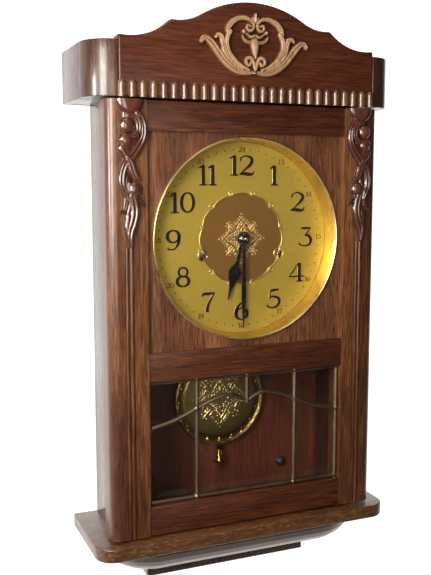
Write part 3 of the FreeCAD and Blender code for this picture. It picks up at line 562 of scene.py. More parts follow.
def scaled_strokes(strokes, x, z, sign=1):
    out = []
    for marks, height, groove in strokes:
        out.append(([(x + sign * a * MM, z + b * MM, w * MM) for a, b, w in marks], height * MM, groove))
    return out


# Crest on the pediment: one half, in millimetres from the crest's foot.
CREST = [
    ([(-58.8, 29.5, 2.6), (-56, 33.0, 3.0), (-51.5, 31.5, 3.6), (-46, 26.5, 4.2), (-40, 19, 4.4),
      (-33, 11.2, 4.4),
      (-25, 5.2, 4.2), (-17, 1.6, 3.6), (-9, 0.6, 2.8), (-2.5, 1.2, 2.0)], 4.4, 0.25),
    ([(-43.6, 34.0, 1.6), (-41.2, 36.6, 2.2), (-37.6, 34.8, 3.0), (-35.8, 29, 3.2), (-33.8, 21.5, 3.2),
      (-28, 14, 3.0), (-21.5, 8.2, 2.4), (-14, 4.6, 1.6)], 5.0, 0.2),
    ([(-27.6, 40.5, 2.2), (-31, 35, 2.8), (-31.6, 27, 2.6), (-28.2, 19, 2.4), (-22, 11.8, 2.2),
      (-14.6, 6.8, 1.9),
      (-7.4, 3.8, 1.4)], 5.2, 0.15),
    ([(-30.6, 40.8, 2.6), (-29, 45.6, 3.4), (-24.4, 50.8, 3.4), (-18, 54, 3.0), (-11, 54.6, 2.6),
      (-5.2, 52.6, 2.2),
      (-2.2, 48.6, 2.0), (-3.0, 44.2, 1.9), (-6.4, 42.4, 1.8), (-9.4, 44.8, 1.7), (-8.2, 48.2, 1.6),
      (-5.6, 47, 1.6)],
     4.6, 0.12),
    ([(-12.8, 41.6, 2.5), (-12.4, 41.2, 2.5)], 4.0, 0.0),
    ([(-14.2, 37.0, 1.2), (-11.8, 33.2, 1.9), (-7.2, 31.2, 2.3), (-2.4, 32, 2.0), (-0.2, 34.8, 1.6)], 3.6,
     0.1),
    ([(-9.8, 39.4, 1.0), (-5, 36.4, 1.7), (-0.4, 38, 1.5)], 4.2, 0.0),
    ([(-0.3, 4.4, 1.7), (-1.2, 8, 2.0), (-2.8, 12.6, 2.3), (-6, 15.8, 2.4), (-9.8, 14.2, 2.2),
      (-10.2, 10.2, 2.0),
      (-7, 8.2, 1.9), (-5.2, 10.6, 1.8)], 5.0, 0.1),
    ([(-3.4, 55.8, 1.0), (-1.4, 52.8, 1.8), (0, 50.6, 1.6)], 3.6, 0.0),
]
CREST_MIDDLE = [
    ([(0, 30.4, 5.6), (0, 25.6, 4.6), (0, 20, 3.0), (0, 14.6, 1.0)], 4.4, 0.0),
    ([(0, 59.4, 0.9), (0, 56.4, 1.9), (0, 52, 1.8)], 4.8, 0.0),
    ([(0, 1.2, 2.2), (0, 0.6, 2.2)], 2.4, 0.0),
]
CREST_FOOT = box_of("crown_carving")[0][2]
PEDIMENT_FACE = box_of("pediment")[0][1]
crest = (scaled_strokes(CREST, 0, CREST_FOOT) + scaled_strokes(CREST, 0, CREST_FOOT, -1)
         + scaled_strokes(CREST_MIDDLE, 0, CREST_FOOT))
crest_mesh = carving_mesh(relief(crest, 0.42 * MM, 0.7 * MM), PEDIMENT_FACE)
place("crest_carving", crest_mesh, GILT, ("crown_carving",), sharp=80)
pin = section([(0, -3.2), (1.1, -2.9), (1.9, -1.9), (2.2, 0), (0, 0)], PEDIMENT_FACE - 2.6 * MM)
place("crest_pin", lathe(pin, 0, CREST_FOOT + 1.0 * MM, 24), STEEL, body="case", slot="steel")

# Carved drop at the head of each stile, in millimetres from the stile's middle and the drop's top.
DROP = [
    ([(2.6, 3.5, 13.8), (2.6, 2.0, 13.4), (2.6, 0.3, 12.2)], 5.4, 0.12),
    ([(2.6, -11, 8.5), (2.8, -14, 8.0)], 3.0, 0.0),
    ([(-1.6, -21.0, 7.4), (-1.6, -22.4, 7.4)], 6.2, 0.0),
    ([(0.4, -12.4, 2.4), (6.4, -13.4, 3.4), (10.2, -18.7, 4.0), (10.2, -26.4, 3.6), (5.4, -31.8, 3.0),
      (-0.6, -31, 1.6)], 5.2, 0.2),
    ([(9.7, -9.6, 3.0), (14.2, -16.4, 3.3), (16.0, -24.3, 3.5), (15.0, -33, 3.7), (10.9, -41.6, 4.2),
      (4.9, -49.6, 4.5), (-1.1, -56.5, 4.2), (-5.2, -64.2, 4.2), (-7.0, -72.9, 4.1), (-6.4, -80.7, 3.7),
      (-3.6, -87.5, 3.0), (-1.6, -94.4, 1.8)], 5.0, 0.3),
    ([(-3.2, -35.0, 6.6), (-2.6, -36.2, 6.6)], 5.8, 0.0),
    ([(-4.4, -44.0, 6.4), (-1.6, -48.6, 6.0)], 4.4, 0.1),
    ([(5.0, -38.0, 7.4), (2.0, -50.0, 5.4)], 3.2, 0.1),
    ([(-1.1, -53.0, 3.0), (2.2, -59.3, 5.0), (4.2, -66.1, 5.2), (7.2, -71.5, 3.8), (10.8, -73.2, 1.2)], 5.4,
     0.12),
    ([(-1.0, -62.0, 5.0), (-1.0, -74.0, 4.6), (0.6, -86.0, 3.6)], 2.8, 0.0),
    ([(6.2, -82.8, 7.0), (6.2, -84.2, 7.0)], 5.8, 0.0),
    ([(0.8, -77.6, 1.4), (-0.2, -84.5, 1.7), (3.2, -92.2, 2.0), (9.0, -92.2, 1.4)], 3.8, 0.0),
    ([(6.6, -90.4, 3.2), (11.3, -95.4, 3.0), (16.6, -100.6, 0.8)], 3.2, 0.2),
    ([(-2.4, -89.4, 2.6), (-3.2, -98.2, 3.2), (-4.9, -104, 3.0), (-9.0, -106.4, 1.2)], 4.0, 0.2),
    ([(0.4, -91.3, 2.8), (1.5, -100.2, 3.2), (-1.5, -110, 2.6)], 3.4, 0.0),
    ([(3.5, -90.4, 4.0), (5.8, -100.2, 5.0), (6.1, -108.1, 5.2), (4.2, -116.9, 5.2), (1.4, -124.7, 4.6),
      (0.6, -131.6, 3.2), (1.8, -140.0, 0.7)], 5.2, 0.25),
    ([(-0.4, -109.9, 3.2), (-1.6, -119.8, 3.4), (-1.2, -129.0, 2.4)], 4.2, 0.0),
]
DROP_HIGH = box_of("carved_drops")[1]
DOOR_FACE = DROP_HIGH[1]
drop_x = DROP_HIGH[0] - 10.4 * MM


def drop_mesh(x, sign):
    """One drop, cut off level with the head of the stile."""
    strokes = scaled_strokes(DROP, x, DROP_HIGH[2] - 4 * MM, sign)
    xs, zs, high = relief(strokes, 0.4 * MM, 0.6 * MM)
    rows = zs <= DROP_HIGH[2]
    return carving_mesh((xs, zs[rows], high[:, rows]), DOOR_FACE)


place("left_drop", drop_mesh(-drop_x, 1), CARVED_WOOD, ("carved_drops",), sharp=80)
place("right_drop", drop_mesh(drop_x, -1), CARVED_WOOD, body="door", slot="carved_wood", sharp=80)


# ---- geometry nodes: what repeats ----------------------------------------------
class Rule:
    """A node group with named inputs, whose result is kept as a plain mesh."""

    def __init__(self, name, **inputs):
        self.tree = bpy.data.node_groups.new(name, "GeometryNodeTree")
        self.tree.interface.new_socket("Geometry", in_out="OUTPUT", socket_type="NodeSocketGeometry")
        for key, kind in inputs.items():
            self.tree.interface.new_socket(key, in_out="INPUT", socket_type="NodeSocket" + kind)
        self.source = self.tree.nodes.new("NodeGroupInput")
        self.out = self.tree.nodes.new("NodeGroupOutput")

    def node(self, kind, feeds, **values):
        """A node fed with group inputs by name, with other nodes' outputs or with plain values."""
        node = self.tree.nodes.new(kind)
        for key, value in values.items():
            setattr(node, key, value)
        for socket, value in feeds.items():
            if isinstance(value, str):
                value = self.source.outputs[value]
            if isinstance(value, bpy.types.NodeSocket):
                self.tree.links.new(value, node.inputs[socket])
            else:
                node.inputs[socket].default_value = value
        return node.outputs[0]

    def end(self, geometry):
        """Realize Instances, then Set Material."""
        real = self.node("GeometryNodeRealizeInstances", {0: geometry})
        painted = self.node("GeometryNodeSetMaterial", {"Geometry": real, "Material": "Material"})
        self.tree.links.new(painted, self.out.inputs[0])
        return self

    def row_of(self, piece, **feeds):
        """Copies of a piece at even steps along a line."""
        line = self.node("GeometryNodeMeshLine", {"Count": "Count", "Start Location": "Start",
                                                  "Offset": "Step"})
        return self.end(self.node("GeometryNodeInstanceOnPoints",
                                  {"Points": line, "Instance": piece, **feeds}))

    def grow(self, name, values, **how):
        """Runs the rule once and places what it makes."""
        holder = linked("holder", bpy.data.meshes.new("holder"))
        modifier = holder.modifiers.new("rule", "NODES")
        modifier.node_group = self.tree
        for item in self.tree.interface.items_tree:
            if item.in_out == "INPUT":
                modifier[item.identifier] = values[item.name]
        return place(name, baked(holder), None, **how)


ROW = {"Count": "Int", "Start": "Vector", "Step": "Vector", "Radius": "Float", "Material": "Material"}


def reed_row():
    """Row of round-topped reeds along X."""
    rule = Rule("row of reeds", Height="Float", **ROW)
    bar = rule.node("GeometryNodeMeshCylinder", {"Vertices": 28, "Radius": "Radius", "Depth": "Height"})
    ball = rule.node("GeometryNodeMeshUVSphere", {"Segments": 28, "Rings": 14, "Radius": "Radius"})
    half = rule.node("ShaderNodeMath", {0: "Height", 1: 0.5}, operation="MULTIPLY")
    cap = rule.node("GeometryNodeTransform",
                    {"Geometry": ball, "Translation": rule.node("ShaderNodeCombineXYZ", {"Z": half})})
    reed = rule.node("GeometryNodeJoinGeometry", {0: cap})
    rule.tree.links.new(bar, reed.node.inputs[0])
    return rule.row_of(reed)


def ring_of_marks():
    """Marks set round a circle in the XZ plane, each pointing outwards."""
    rule = Rule("ring of marks", Count="Int", Radius="Float", Centre="Vector", Long="Float", Wide="Float",
                Thick="Float", Turn="Vector", Material="Material")
    circle = rule.node("GeometryNodeMeshCircle", {"Vertices": "Count", "Radius": "Radius"})
    size = rule.node("ShaderNodeCombineXYZ", {"X": "Long", "Y": "Wide", "Z": "Thick"})
    seed = rule.node("GeometryNodeMeshIcoSphere", {"Radius": 0.5, "Subdivisions": 2})
    spot = rule.node("GeometryNodeInputPosition", {})
    aim = rule.node("FunctionNodeAlignEulerToVector", {"Vector": spot}, axis="X")
    spread = rule.node("GeometryNodeInstanceOnPoints",
                       {"Points": circle, "Instance": seed, "Scale": size, "Rotation": aim})
    return rule.end(rule.node("GeometryNodeTransform",
                              {"Geometry": spread, "Rotation": "Turn", "Translation": "Centre"}))


def screw_rule():
    """Column of domed heads."""
    rule = Rule("column of screw heads", Rise="Float", Turn="Vector", **ROW)
    ball = rule.node("GeometryNodeMeshUVSphere", {"Segments": 20, "Rings": 10, "Radius": 1.0})
    size = rule.node("ShaderNodeCombineXYZ", {"X": "Radius", "Y": "Radius", "Z": "Rise"})
    head = rule.node("GeometryNodeTransform", {"Geometry": ball, "Scale": size})
    return rule.row_of(head, Rotation="Turn")



REED_LOW, REED_HIGH = box_of("reeded_moulding")
REEDS = 27
reed_width = (REED_HIGH[0] - REED_LOW[0]) / REEDS
reed_r = 0.36 * reed_width
reed_h = REED_HIGH[2] - REED_LOW[2] - reed_r
reed_row().grow("reeds", {
    "Count": REEDS, "Start": (REED_LOW[0] + reed_width / 2, REED_LOW[1] + reed_r, REED_LOW[2] + reed_h / 2),
    "Step": (reed_width, 0, 0), "Radius": reed_r, "Height": reed_h, "Material": REED_WOOD,
}, stands_for=("reeded_moulding",), sharp=50)

MARKS = ring_of_marks()
FIGURE_H = 21.5 * MM
FIGURE_RING = 78.2 * MM
MARK_RING = 95.0 * MM
for step in range(1, 5):
    MARKS.grow("minute_marks_%d" % step, {
        "Count": 12, "Radius": MARK_RING, "Centre": (DIAL_X, DIAL_FACE, DIAL_Z), "Long": 2.3 * MM,
        "Wide": 1.1 * MM, "Thick": 0.7 * MM, "Turn": (math.pi / 2, math.radians(6 * step), 0),
        "Material": INK,
    }, body="case", slot="black_hand")


# ---- dial -----------------------------------------------------------------------
def loop_marks(x, z, rx, rz, thin, thick, steps=16):
    """Closed oval stroke, heavy at its sides."""
    marks = []
    for i in range(steps + 1):
        turn = 2 * math.pi * i / steps + math.pi / 2
        weight = abs(math.cos(turn)) ** 1.5
        marks.append((x + rx * math.cos(turn), z + rz * math.sin(turn), thin + (thick - thin) * weight))
    return marks


THIN, THICK = 0.028, 0.085
FIGURES = {
    "0": [loop_marks(0, 0.5, 0.26, 0.47, THIN, THICK)],
    "1": [[(0, 0.02, THICK), (0, 0.94, THICK)], [(-0.2, 0.84, THIN), (-0.08, 0.9, 0.05), (0.04, 0.99, THIN)],
          [(-0.17, 0.02, THIN), (0.17, 0.02, THIN)]],
    "2": [[(-0.27, 0.72, 0.05), (-0.24, 0.86, THIN), (-0.02, 0.97, THIN), (0.21, 0.86, 0.07),
           (0.25, 0.7, THICK),
           (0.14, 0.5, 0.07), (-0.1, 0.25, THIN), (-0.31, 0.05, THIN)],
          [(-0.3, 0.06, 0.03), (-0.1, 0.09, 0.07), (0.1, 0.06, 0.08), (0.28, 0.08, 0.04),
           (0.33, 0.22, THIN)]],
    "3": [[(-0.2, 0.96, THIN), (-0.05, 0.95, 0.05), (0.25, 0.97, THIN)],
          [(0.25, 0.96, THIN), (0.0, 0.6, THIN)],
          [(-0.02, 0.59, THIN), (0.16, 0.56, 0.06), (0.27, 0.36, THICK), (0.2, 0.12, 0.06),
           (-0.02, 0.03, THIN),
           (-0.24, 0.09, THIN), (-0.28, 0.19, 0.05)]],
    "4": [[(0.14, 0.02, THICK), (0.14, 0.98, THICK)], [(0.1, 0.97, THIN), (-0.34, 0.27, THIN)],
          [(-0.36, 0.27, THIN), (0.36, 0.27, THIN)], [(-0.02, 0.02, THIN), (0.3, 0.02, THIN)]],
    "5": [[(-0.14, 0.92, 0.035), (0.02, 0.95, 0.06), (0.26, 0.98, THIN)],
          [(-0.15, 0.93, THIN), (-0.19, 0.54, THIN)],
          [(-0.19, 0.55, THIN), (0.0, 0.62, 0.04), (0.24, 0.5, 0.07), (0.27, 0.3, THICK), (0.16, 0.1, 0.06),
           (-0.05, 0.03, THIN), (-0.26, 0.1, THIN), (-0.28, 0.2, 0.05)]],
    "6": [loop_marks(0.01, 0.31, 0.25, 0.29, THIN, THICK),
          [(0.24, 0.95, THIN), (0.0, 0.86, 0.035), (-0.2, 0.62, 0.07), (-0.25, 0.32, THICK)]],
    "7": [[(-0.26, 0.8, THIN), (-0.22, 0.93, 0.05), (0.0, 0.93, 0.07), (0.28, 0.97, 0.03)],
          [(0.28, 0.96, THIN), (0.1, 0.6, 0.045), (-0.02, 0.3, 0.07), (-0.04, 0.02, THICK)]],
    "8": [loop_marks(0, 0.74, 0.19, 0.22, THIN, 0.06), loop_marks(0, 0.28, 0.25, 0.25, THIN, THICK)],
    "9": [loop_marks(-0.01, 0.68, 0.25, 0.29, THIN, THICK),
          [(-0.26, 0.12, 0.05), (-0.16, 0.04, THIN), (0.05, 0.08, 0.035), (0.2, 0.34, 0.07),
           (0.24, 0.66, THICK)]],
}
ADVANCE = {"1": 0.5}
WIDEN = 1.22


def figures_mesh(labels, height, radius, front, depth, edge):
    parts = []
    for text, hour in labels:
        turn = math.radians(30 * hour)
        widths = [ADVANCE.get(c, 0.8) for c in text]
        x = DIAL_X + radius * math.sin(turn) - height * sum(widths) / 2
        z = DIAL_Z + radius * math.cos(turn) - height / 2
        for letter, width in zip(text, widths):
            middle = x + height * width / 2
            for marks in FIGURES[letter]:
                placed = [(middle + WIDEN * a * height, z + b * height, w * height + edge) for a, b,
                          w in marks]
                parts.append(stroke(placed, front, depth, min(0.12 * MM, depth * 0.4), 4))
            x += height * width
    return shell(*parts)


HOURS = [(str(h), h) for h in range(1, 13)]
LATE_HOURS = [(str(h + 12), h) for h in range(1, 13)]
for label, hours, height, ring, lift, depth, edge, finish, slot in (
        ("hour_figures", HOURS, FIGURE_H, FIGURE_RING, 0.6, 0.75, 0, INK, "black_hand"),
        ("hour_figure_edges", HOURS, FIGURE_H, FIGURE_RING, 0.25, 0.38, 0.45, FIGURE_RIM, "dial_brass"),
        ("late_hour_figures", LATE_HOURS, 5.2 * MM, MARK_RING, 0.25, 0.35, 0.08, FINE_PRINT, "dial_brass")):
    figures = figures_mesh(hours, height, ring, DIAL_FACE - lift * MM, depth * MM, edge * MM)
    place(label, figures, finish, body="case", slot=slot, sharp=30)


def pressed_disc(radius, rings, steps, centre, face, height_at, back):
    """Thin disc facing -Y whose face is pressed to height_at(x, z) and whose back is flat."""
    points = [(centre[0], face - float(height_at(np.zeros(1), np.zeros(1))[0]), centre[1])]
    radii = radius * (np.arange(1, rings + 1) / rings)
    turns = 2 * np.pi * np.arange(steps) / steps
    xs = radii[:, None] * np.cos(turns)[None]
    zs = radii[:, None] * np.sin(turns)[None]
    high = height_at(xs.ravel(), zs.ravel())
    points += list(zip(centre[0] + xs.ravel(), face - high, centre[1] + zs.ravel()))
    lifts = [0.0] + list(high)
    faces = []
    for i in range(steps):
        j = (i + 1) % steps
        faces.append((0, 1 + i, 1 + j))
        for k in range(rings - 1):
            a = 1 + k * steps
            faces.append((a + i, a + steps + i, a + steps + j, a + j))
    rim = 1 + (rings - 1) * steps
    start = len(points)
    for i in range(steps):
        x, _, z = points[rim + i]
        points.append((x, back, z))
        lifts.append(0.0)
    points.append((centre[0], back, centre[1]))
    lifts.append(0.0)
    for i in range(steps):
        j = (i + 1) % steps
        faces.append((rim + i, start + i, start + j, rim + j))
        faces.append((start + i, len(points) - 1, start + j))
    lifts = np.array(lifts)
    return outward(mesh_of(points, faces, np.clip(lifts / max(lifts.max(), 1e-9), 0, 1)))


def raised_lines(lines):
    """Height over a flat sheet made by rounded wires: lines are (marks, height)."""
    samples = [(smooth_line(marks, 10) if len(marks) > 1 else np.array(marks, float), height)
               for marks, height in lines]

    def height_at(xs, zs):
        high = np.zeros(len(xs))
        for line, height in samples:
            best = np.full(len(xs), 9.0)
            for x, z, half in line[:, :3]:
                best = np.minimum(best, ((xs - x) ** 2 + (zs - z) ** 2) / half ** 2)
            high = np.maximum(high, height * np.sqrt(np.clip(1 - best, 0, 1)))
        return high
    return height_at


def four_ways(lines):
    """Each line mirrored and turned to fill a square pattern."""
    out = []
    for marks, height in lines:
        for turn in range(4):
            c, s = math.cos(turn * math.pi / 2), math.sin(turn * math.pi / 2)
            for sign in (1, -1):
                out.append(([(c * sign * x - s * z, s * sign * x + c * z, w) for x, z, w in marks], height))
    return out


PRESSED = 0.8               # height of the pressed pattern


def filigree(size):
    """Pressed lozenge of chevrons, leaves, scrolls and beads; size is half its diagonal."""
    lines = [
        ([(0, 0.86, 0.022), (0.2, 0.62, 0.022), (0.34, 0.52, 0.02)], 0.9),
        ([(0, 0.68, 0.02), (0.12, 0.52, 0.02), (0.2, 0.38, 0.02)], 0.8),
        ([(0.36, 0.36, 0.03), (0.46, 0.46, 0.06), (0.57, 0.57, 0.035)], 1.0),
        ([(0.34, 0.5, 0.02), (0.42, 0.56, 0.028), (0.5, 0.52, 0.02)], 0.9),
        ([(x, z, 0.018) for x, z, _ in spiral(0.2, 0.28, 0.11, 0.02, 120, 1.1, 1, 1)], 0.8),
        ([(x, z, 0.016) for x, z, _ in spiral(0.1, 0.44, 0.07, 0.02, -60, 1.0, 1, 1)], 0.8),
        ([(0, 0.3, 0.05), (0, 0.42, 0.02)], 0.9),
        ([(0, 0.54, 0.03), (0, 0.6, 0.018)], 0.9),
        ([(0, 0.98, 0.03)], 1.0),
    ]
    for i in range(1, 12):
        t = i / 12
        lines.append(([(0.95 * t, 0.95 * (1 - t), 0.024)], 0.9))
        if i % 2:
            lines.append(([(0.8 * t, 0.8 * (1 - t), 0.03)], 0.7))
    for x, z in ((0.12, 0.2), (0.3, 0.14), (0.24, 0.62), (0.1, 0.58), (0.44, 0.3), (0.5, 0.66), (0.62, 0.62)):
        lines.append(([(x, z, 0.035)], 0.8))
    return [([(x * size, z * size, w * size) for x, z, w in marks], height * PRESSED * MM)
            for marks, height in four_ways(lines)]


DISC_R = 46.5 * MM


def lobe(t):
    """Radius of the lobed border, a share t of the way along one lobe."""
    return DISC_R + 2.3 * MM * np.sin(np.pi * t) ** 0.7


wires = []
for i in range(12):
    start, end = math.radians(15 + 30 * i), math.radians(45 + 30 * i)
    marks = []
    for k in range(7):
        t = k / 6
        turn = start + (end - start) * t
        marks.append((lobe(t) * math.cos(turn), lobe(t) * math.sin(turn), 0.75 * MM))
    wires.append((marks, 1.2 * MM))
    c, s = math.cos(start), math.sin(start)
    for side in (-1, 1):
        horn = [(0, side * 0.6), (1.8, side * 1.6), (4.2, side * 2.2), (5.4, side * 1.0)]
        wires.append(([(c * (DISC_R + a * MM) - s * b * MM, s * (DISC_R + a * MM) + c * b * MM, 0.62 * MM)
                      for a, b in horn], 1.1 * MM))
    wires.append(([(c * (DISC_R + 2 * MM), s * (DISC_R + 2 * MM), 1.2 * MM),
                  (c * (DISC_R + 3 * MM), s * (DISC_R + 3 * MM), 0.8 * MM)], 1.4 * MM))
flat_lines = raised_lines(filigree(27 * MM))


def lobed_disc():
    """The bronzed centre, cut to the lobed border."""
    mesh = pressed_disc(1.0, 150, 360, (0, 0), 0, lambda xs, zs: np.zeros(len(xs)), 1.0)
    points = np.array([v.co for v in mesh.vertices])
    edge = lobe((np.degrees(np.arctan2(points[:, 2], points[:, 0])) - 15) % 30 / 30)
    xs, zs = points[:, 0] * edge, points[:, 2] * edge
    high = flat_lines(xs, zs)
    front = points[:, 1] < 0.5
    ys = np.where(front, DIAL_FACE - 0.12 * MM - high, DIAL_FACE + 0.1 * MM)
    made = np.stack([DIAL_X + xs, ys, DIAL_Z + zs], 1)
    mesh.vertices.foreach_set("co", made.ravel())
    lift = np.where(front, high / (PRESSED * MM), 0)
    mesh.attributes["lift"].data.foreach_set("value", lift.astype(np.float32))
    mesh.update()
    return mesh


place("dial_centre", lobed_disc(), DIAL_DISC, body="case", slot="dial_brass", sharp=80)
wire_strokes = [([(DIAL_X + x, DIAL_Z + z, w) for x, z, w in marks], height, 0.0) for marks, height in wires]
place("dial_centre_border", carving_mesh(relief(wire_strokes, 0.32 * MM, 0.05 * MM), DIAL_FACE), FIGURE_RIM,
      body="case", slot="dial_brass", sharp=80)

WIND_LOW, WIND_HIGH = box_of("going_winding_arbor")
WIND_X = (WIND_LOW[0] + WIND_HIGH[0]) / 2
WIND_Z = (WIND_LOW[2] + WIND_HIGH[2]) / 2
for side, label in ((-1, "strike"), (1, "going")):
    hole = section([(4.5, 0.4), (4.5, -0.3), (5.0, -0.7), (5.8, -0.5), (6.3, 0.05)], DIAL_FACE)
    place(label + "_hole_rim", lathe(hole, side * WIND_X, WIND_Z, 48), OLD_BRASS, body="case",
          slot="brass_aged")
    cap = section([(0, -2.4), (1.2, -2.2), (2.0, -1.2), (2.1, 1.5), (0, 1.5)], DIAL_FACE)
    place(label + "_square_end", lathe(cap, side * WIND_X, WIND_Z, 24), STEEL, body=label + "_winder",
          slot="steel")


# ---- bezel ----------------------------------------------------------------------
bezel_y0, bezel_y1 = BEZEL_LOW[1], BEZEL_HIGH[1]
mask_y = box_of("dial_mask_panel")[0][1]
lip = [(-0.5, -0.1), (-1.3, -0.6), (-2.1, -0.3), (-2.6, 0.9), (-3.0, 3.0), (-3.5, 7.0), (-4.2, 12.0)]
bezel_profile = (section([(0, 0.3), (0, -0.6)], mask_y, BEZEL_R) + section(lip, bezel_y0, BEZEL_R)
                 + section([(0, -1.0), (0.3, 0), (1.2, -0.2)], bezel_y1, THROAT_R)
                 + section([(-2.2, 3.0), (-2.0, 0.3)], mask_y, BEZEL_R))
place("bezel_ring", lathe(bezel_profile, DIAL_X, DIAL_Z, 220), BEZEL_BRASS, ("bezel",), sharp=50)


# ---- hands ----------------------------------------------------------------------
def hand(name, node, marks, turn, front, thick, hub_r):
    line = np.array(marks, float) * MM
    c, s = math.cos(math.radians(turn)), math.sin(math.radians(turn))
    placed = [(DIAL_X + s * r, DIAL_Z + c * r, w) for r, w in line]
    blade = stroke(placed, front, thick, 0.3 * MM, 6)
    hub = turned([(0, front - 0.5 * MM), (hub_r - 0.6 * MM, front - 0.5 * MM), (hub_r, front),
                  (hub_r, front + thick),
                  (0, front + thick)], DIAL_X, DIAL_Z, 64)
    place(name, shell(blade, hub), BLACK, (node,), sharp=40)


hour_y = box_of("hour_hand")[0][1]
minute_y = box_of("minute_hand")[0][1] + 0.6 * MM
hour_marks = [(3, 2.1), (20, 1.9), (27, 1.9), (30, 3.2), (33, 5.6), (36, 7.0), (39, 7.2), (43, 6.2),
              (48, 4.2),
              (53, 2.6), (59, 1.5), (68, 0.6)]
minute_marks = [(3, 1.7), (25, 2.0), (50, 2.6), (62, 2.75), (72, 2.2), (84, 1.2), (97, 0.45)]
hand("hour_blade", "hour_hand", hour_marks, 195, hour_y, 1.0 * MM, 6.5 * MM)
hand("minute_blade", "minute_hand", minute_marks, 180, minute_y, 1.0 * MM, 7.9 * MM)
dome = section([(7.9, 0.6), (7.8, -0.6), (7.0, -2.4), (5.6, -3.9), (3.6, -5.0), (1.9, -5.4), (1.9, 0.6)],
               minute_y)
place("hub_dome", lathe(dome, DIAL_X, DIAL_Z, 64), BLACK, ("hand_nut",), sharp=50)
tip = section([(0, -7.0), (0.9, -6.9), (1.6, -6.3), (1.8, -5.2), (1.8, 0), (0, 0)], minute_y)
place("hub_pin", lathe(tip, DIAL_X, DIAL_Z, 32), BRASS, body="centre_body", slot="brass_polished")


# ---- leaded window ----------------------------------------------------------------
CAME_LOW, CAME_HIGH = box_of("window_cames")
WINDOW_TOP, WINDOW_FOOT = CAME_HIGH[2], CAME_LOW[2]
HALF_W = CAME_HIGH[0]
CAME_Y = (CAME_LOW[1] + CAME_HIGH[1]) / 2
POST_X = 58.5 * MM


def came(marks, half=2.2, rise=2.6):
    """Round-backed lead came swept along (x, z) marks."""
    line = smooth_line(marks, 10)
    tangent = np.gradient(line, axis=0)
    tangent /= np.linalg.norm(tangent, axis=1)[:, None]
    side = np.stack([-tangent[:, 1], tangent[:, 0]], 1)
    profile = [(half, 0.4), (half * 0.86, 1.1), (half * 0.55, 1.9), (half * 0.3, rise), (-half * 0.3, rise),
               (-half * 0.55, 1.9), (-half * 0.86, 1.1), (-half, 0.4)]
    profile += [(a, -b) for a, b in reversed(profile)]
    count = len(profile)
    points = []
    for spot, across in zip(line, side):
        for a, b in profile:
            points.append((spot[0] + across[0] * a * MM, CAME_Y - b * MM, spot[1] + across[1] * a * MM))
    faces = []
    for i in range(len(line) - 1):
        for k in range(count):
            m = (k + 1) % count
            faces.append((i * count + k, i * count + m, (i + 1) * count + m, (i + 1) * count + k))
    faces.append(tuple(range(count)))
    faces.append(tuple(reversed(range((len(line) - 1) * count, len(line) * count))))
    return points, faces


inset = 2.2 * MM
wave = [(0, -31.5), (12, -25.0), (24, -22.7), (42, -27.0), (59, -34.0), (85, -44.5), (113.8, -51.5)]
right_wave = [(x * MM, WINDOW_TOP + z * MM) for x, z in wave]
left_wave = [(-x, z) for x, z in right_wave]
bars = [came(right_wave), came(left_wave), came([(0, WINDOW_TOP), right_wave[0]])]
for side in (-1, 1):
    bars.append(came([(side * POST_X, WINDOW_FOOT), (side * POST_X, WINDOW_TOP)]))
    bars.append(came([(side * (HALF_W - inset), WINDOW_FOOT), (side * (HALF_W - inset), WINDOW_TOP)]))
for z in (WINDOW_FOOT + inset, WINDOW_TOP - inset):
    bars.append(came([(-HALF_W, z), (HALF_W, z)]))
place("window_leads", shell(*bars), CAME, ("window_cames",), sharp=55)
blob = section([(0, -3.1), (1.6, -2.9), (2.9, -2.2), (3.5, -1.2), (3.6, 0), (3.5, 1.2), (2.9, 2.2),
                (1.6, 2.9),
                (0, 3.1)], CAME_Y)
solder = [turned(blob, 0, z, 20) for z in (right_wave[0][1], WINDOW_TOP - inset)]
for side in (-1, 1):
    for x, z in ((POST_X, WINDOW_TOP - 34 * MM), (HALF_W - inset, WINDOW_TOP - 51 * MM),
                 (POST_X, WINDOW_TOP - inset), (POST_X, WINDOW_FOOT + inset)):
        solder.append(turned(blob, side * x, z, 20))
place("solder_joints", shell(*solder), CAME, body="door", slot="came_metal", sharp=60)


def bevelled_panes():
    """Each pane with its front edges ground back in a wide bevel."""
    work = bmesh.new()
    work.from_mesh(NODES["window_panes"].data)
    bmesh.ops.remove_doubles(work, verts=work.verts, dist=2e-6)
    bmesh.ops.dissolve_limit(work, angle_limit=math.radians(1), verts=work.verts, edges=work.edges)
    front = min(v.co.y for v in work.verts)
    faces = [f for f in work.faces if all(abs(v.co.y - front) < 1e-6 for v in f.verts)]
    outer = {v for f in faces for v in f.verts}
    bmesh.ops.inset_individual(work, faces=faces, thickness=9.5 * MM, depth=0, use_even_offset=True)
    for vertex in outer:
        vertex.co.y = front + 1.9 * MM
    for vertex in work.verts:
        if vertex not in outer and abs(vertex.co.y - front) < 1e-6:
            vertex.co.y = front - 0.4 * MM
    bmesh.ops.triangulate(work, faces=[f for f in work.faces if len(f.verts) > 4])
    bmesh.ops.recalc_face_normals(work, faces=work.faces)
    mesh = bpy.data.meshes.new("panes")
    work.to_mesh(mesh)
    work.free()
    return mesh


place("bevelled_panes", bevelled_panes(), PANE_GLASS, ("window_panes",), sharp=2)


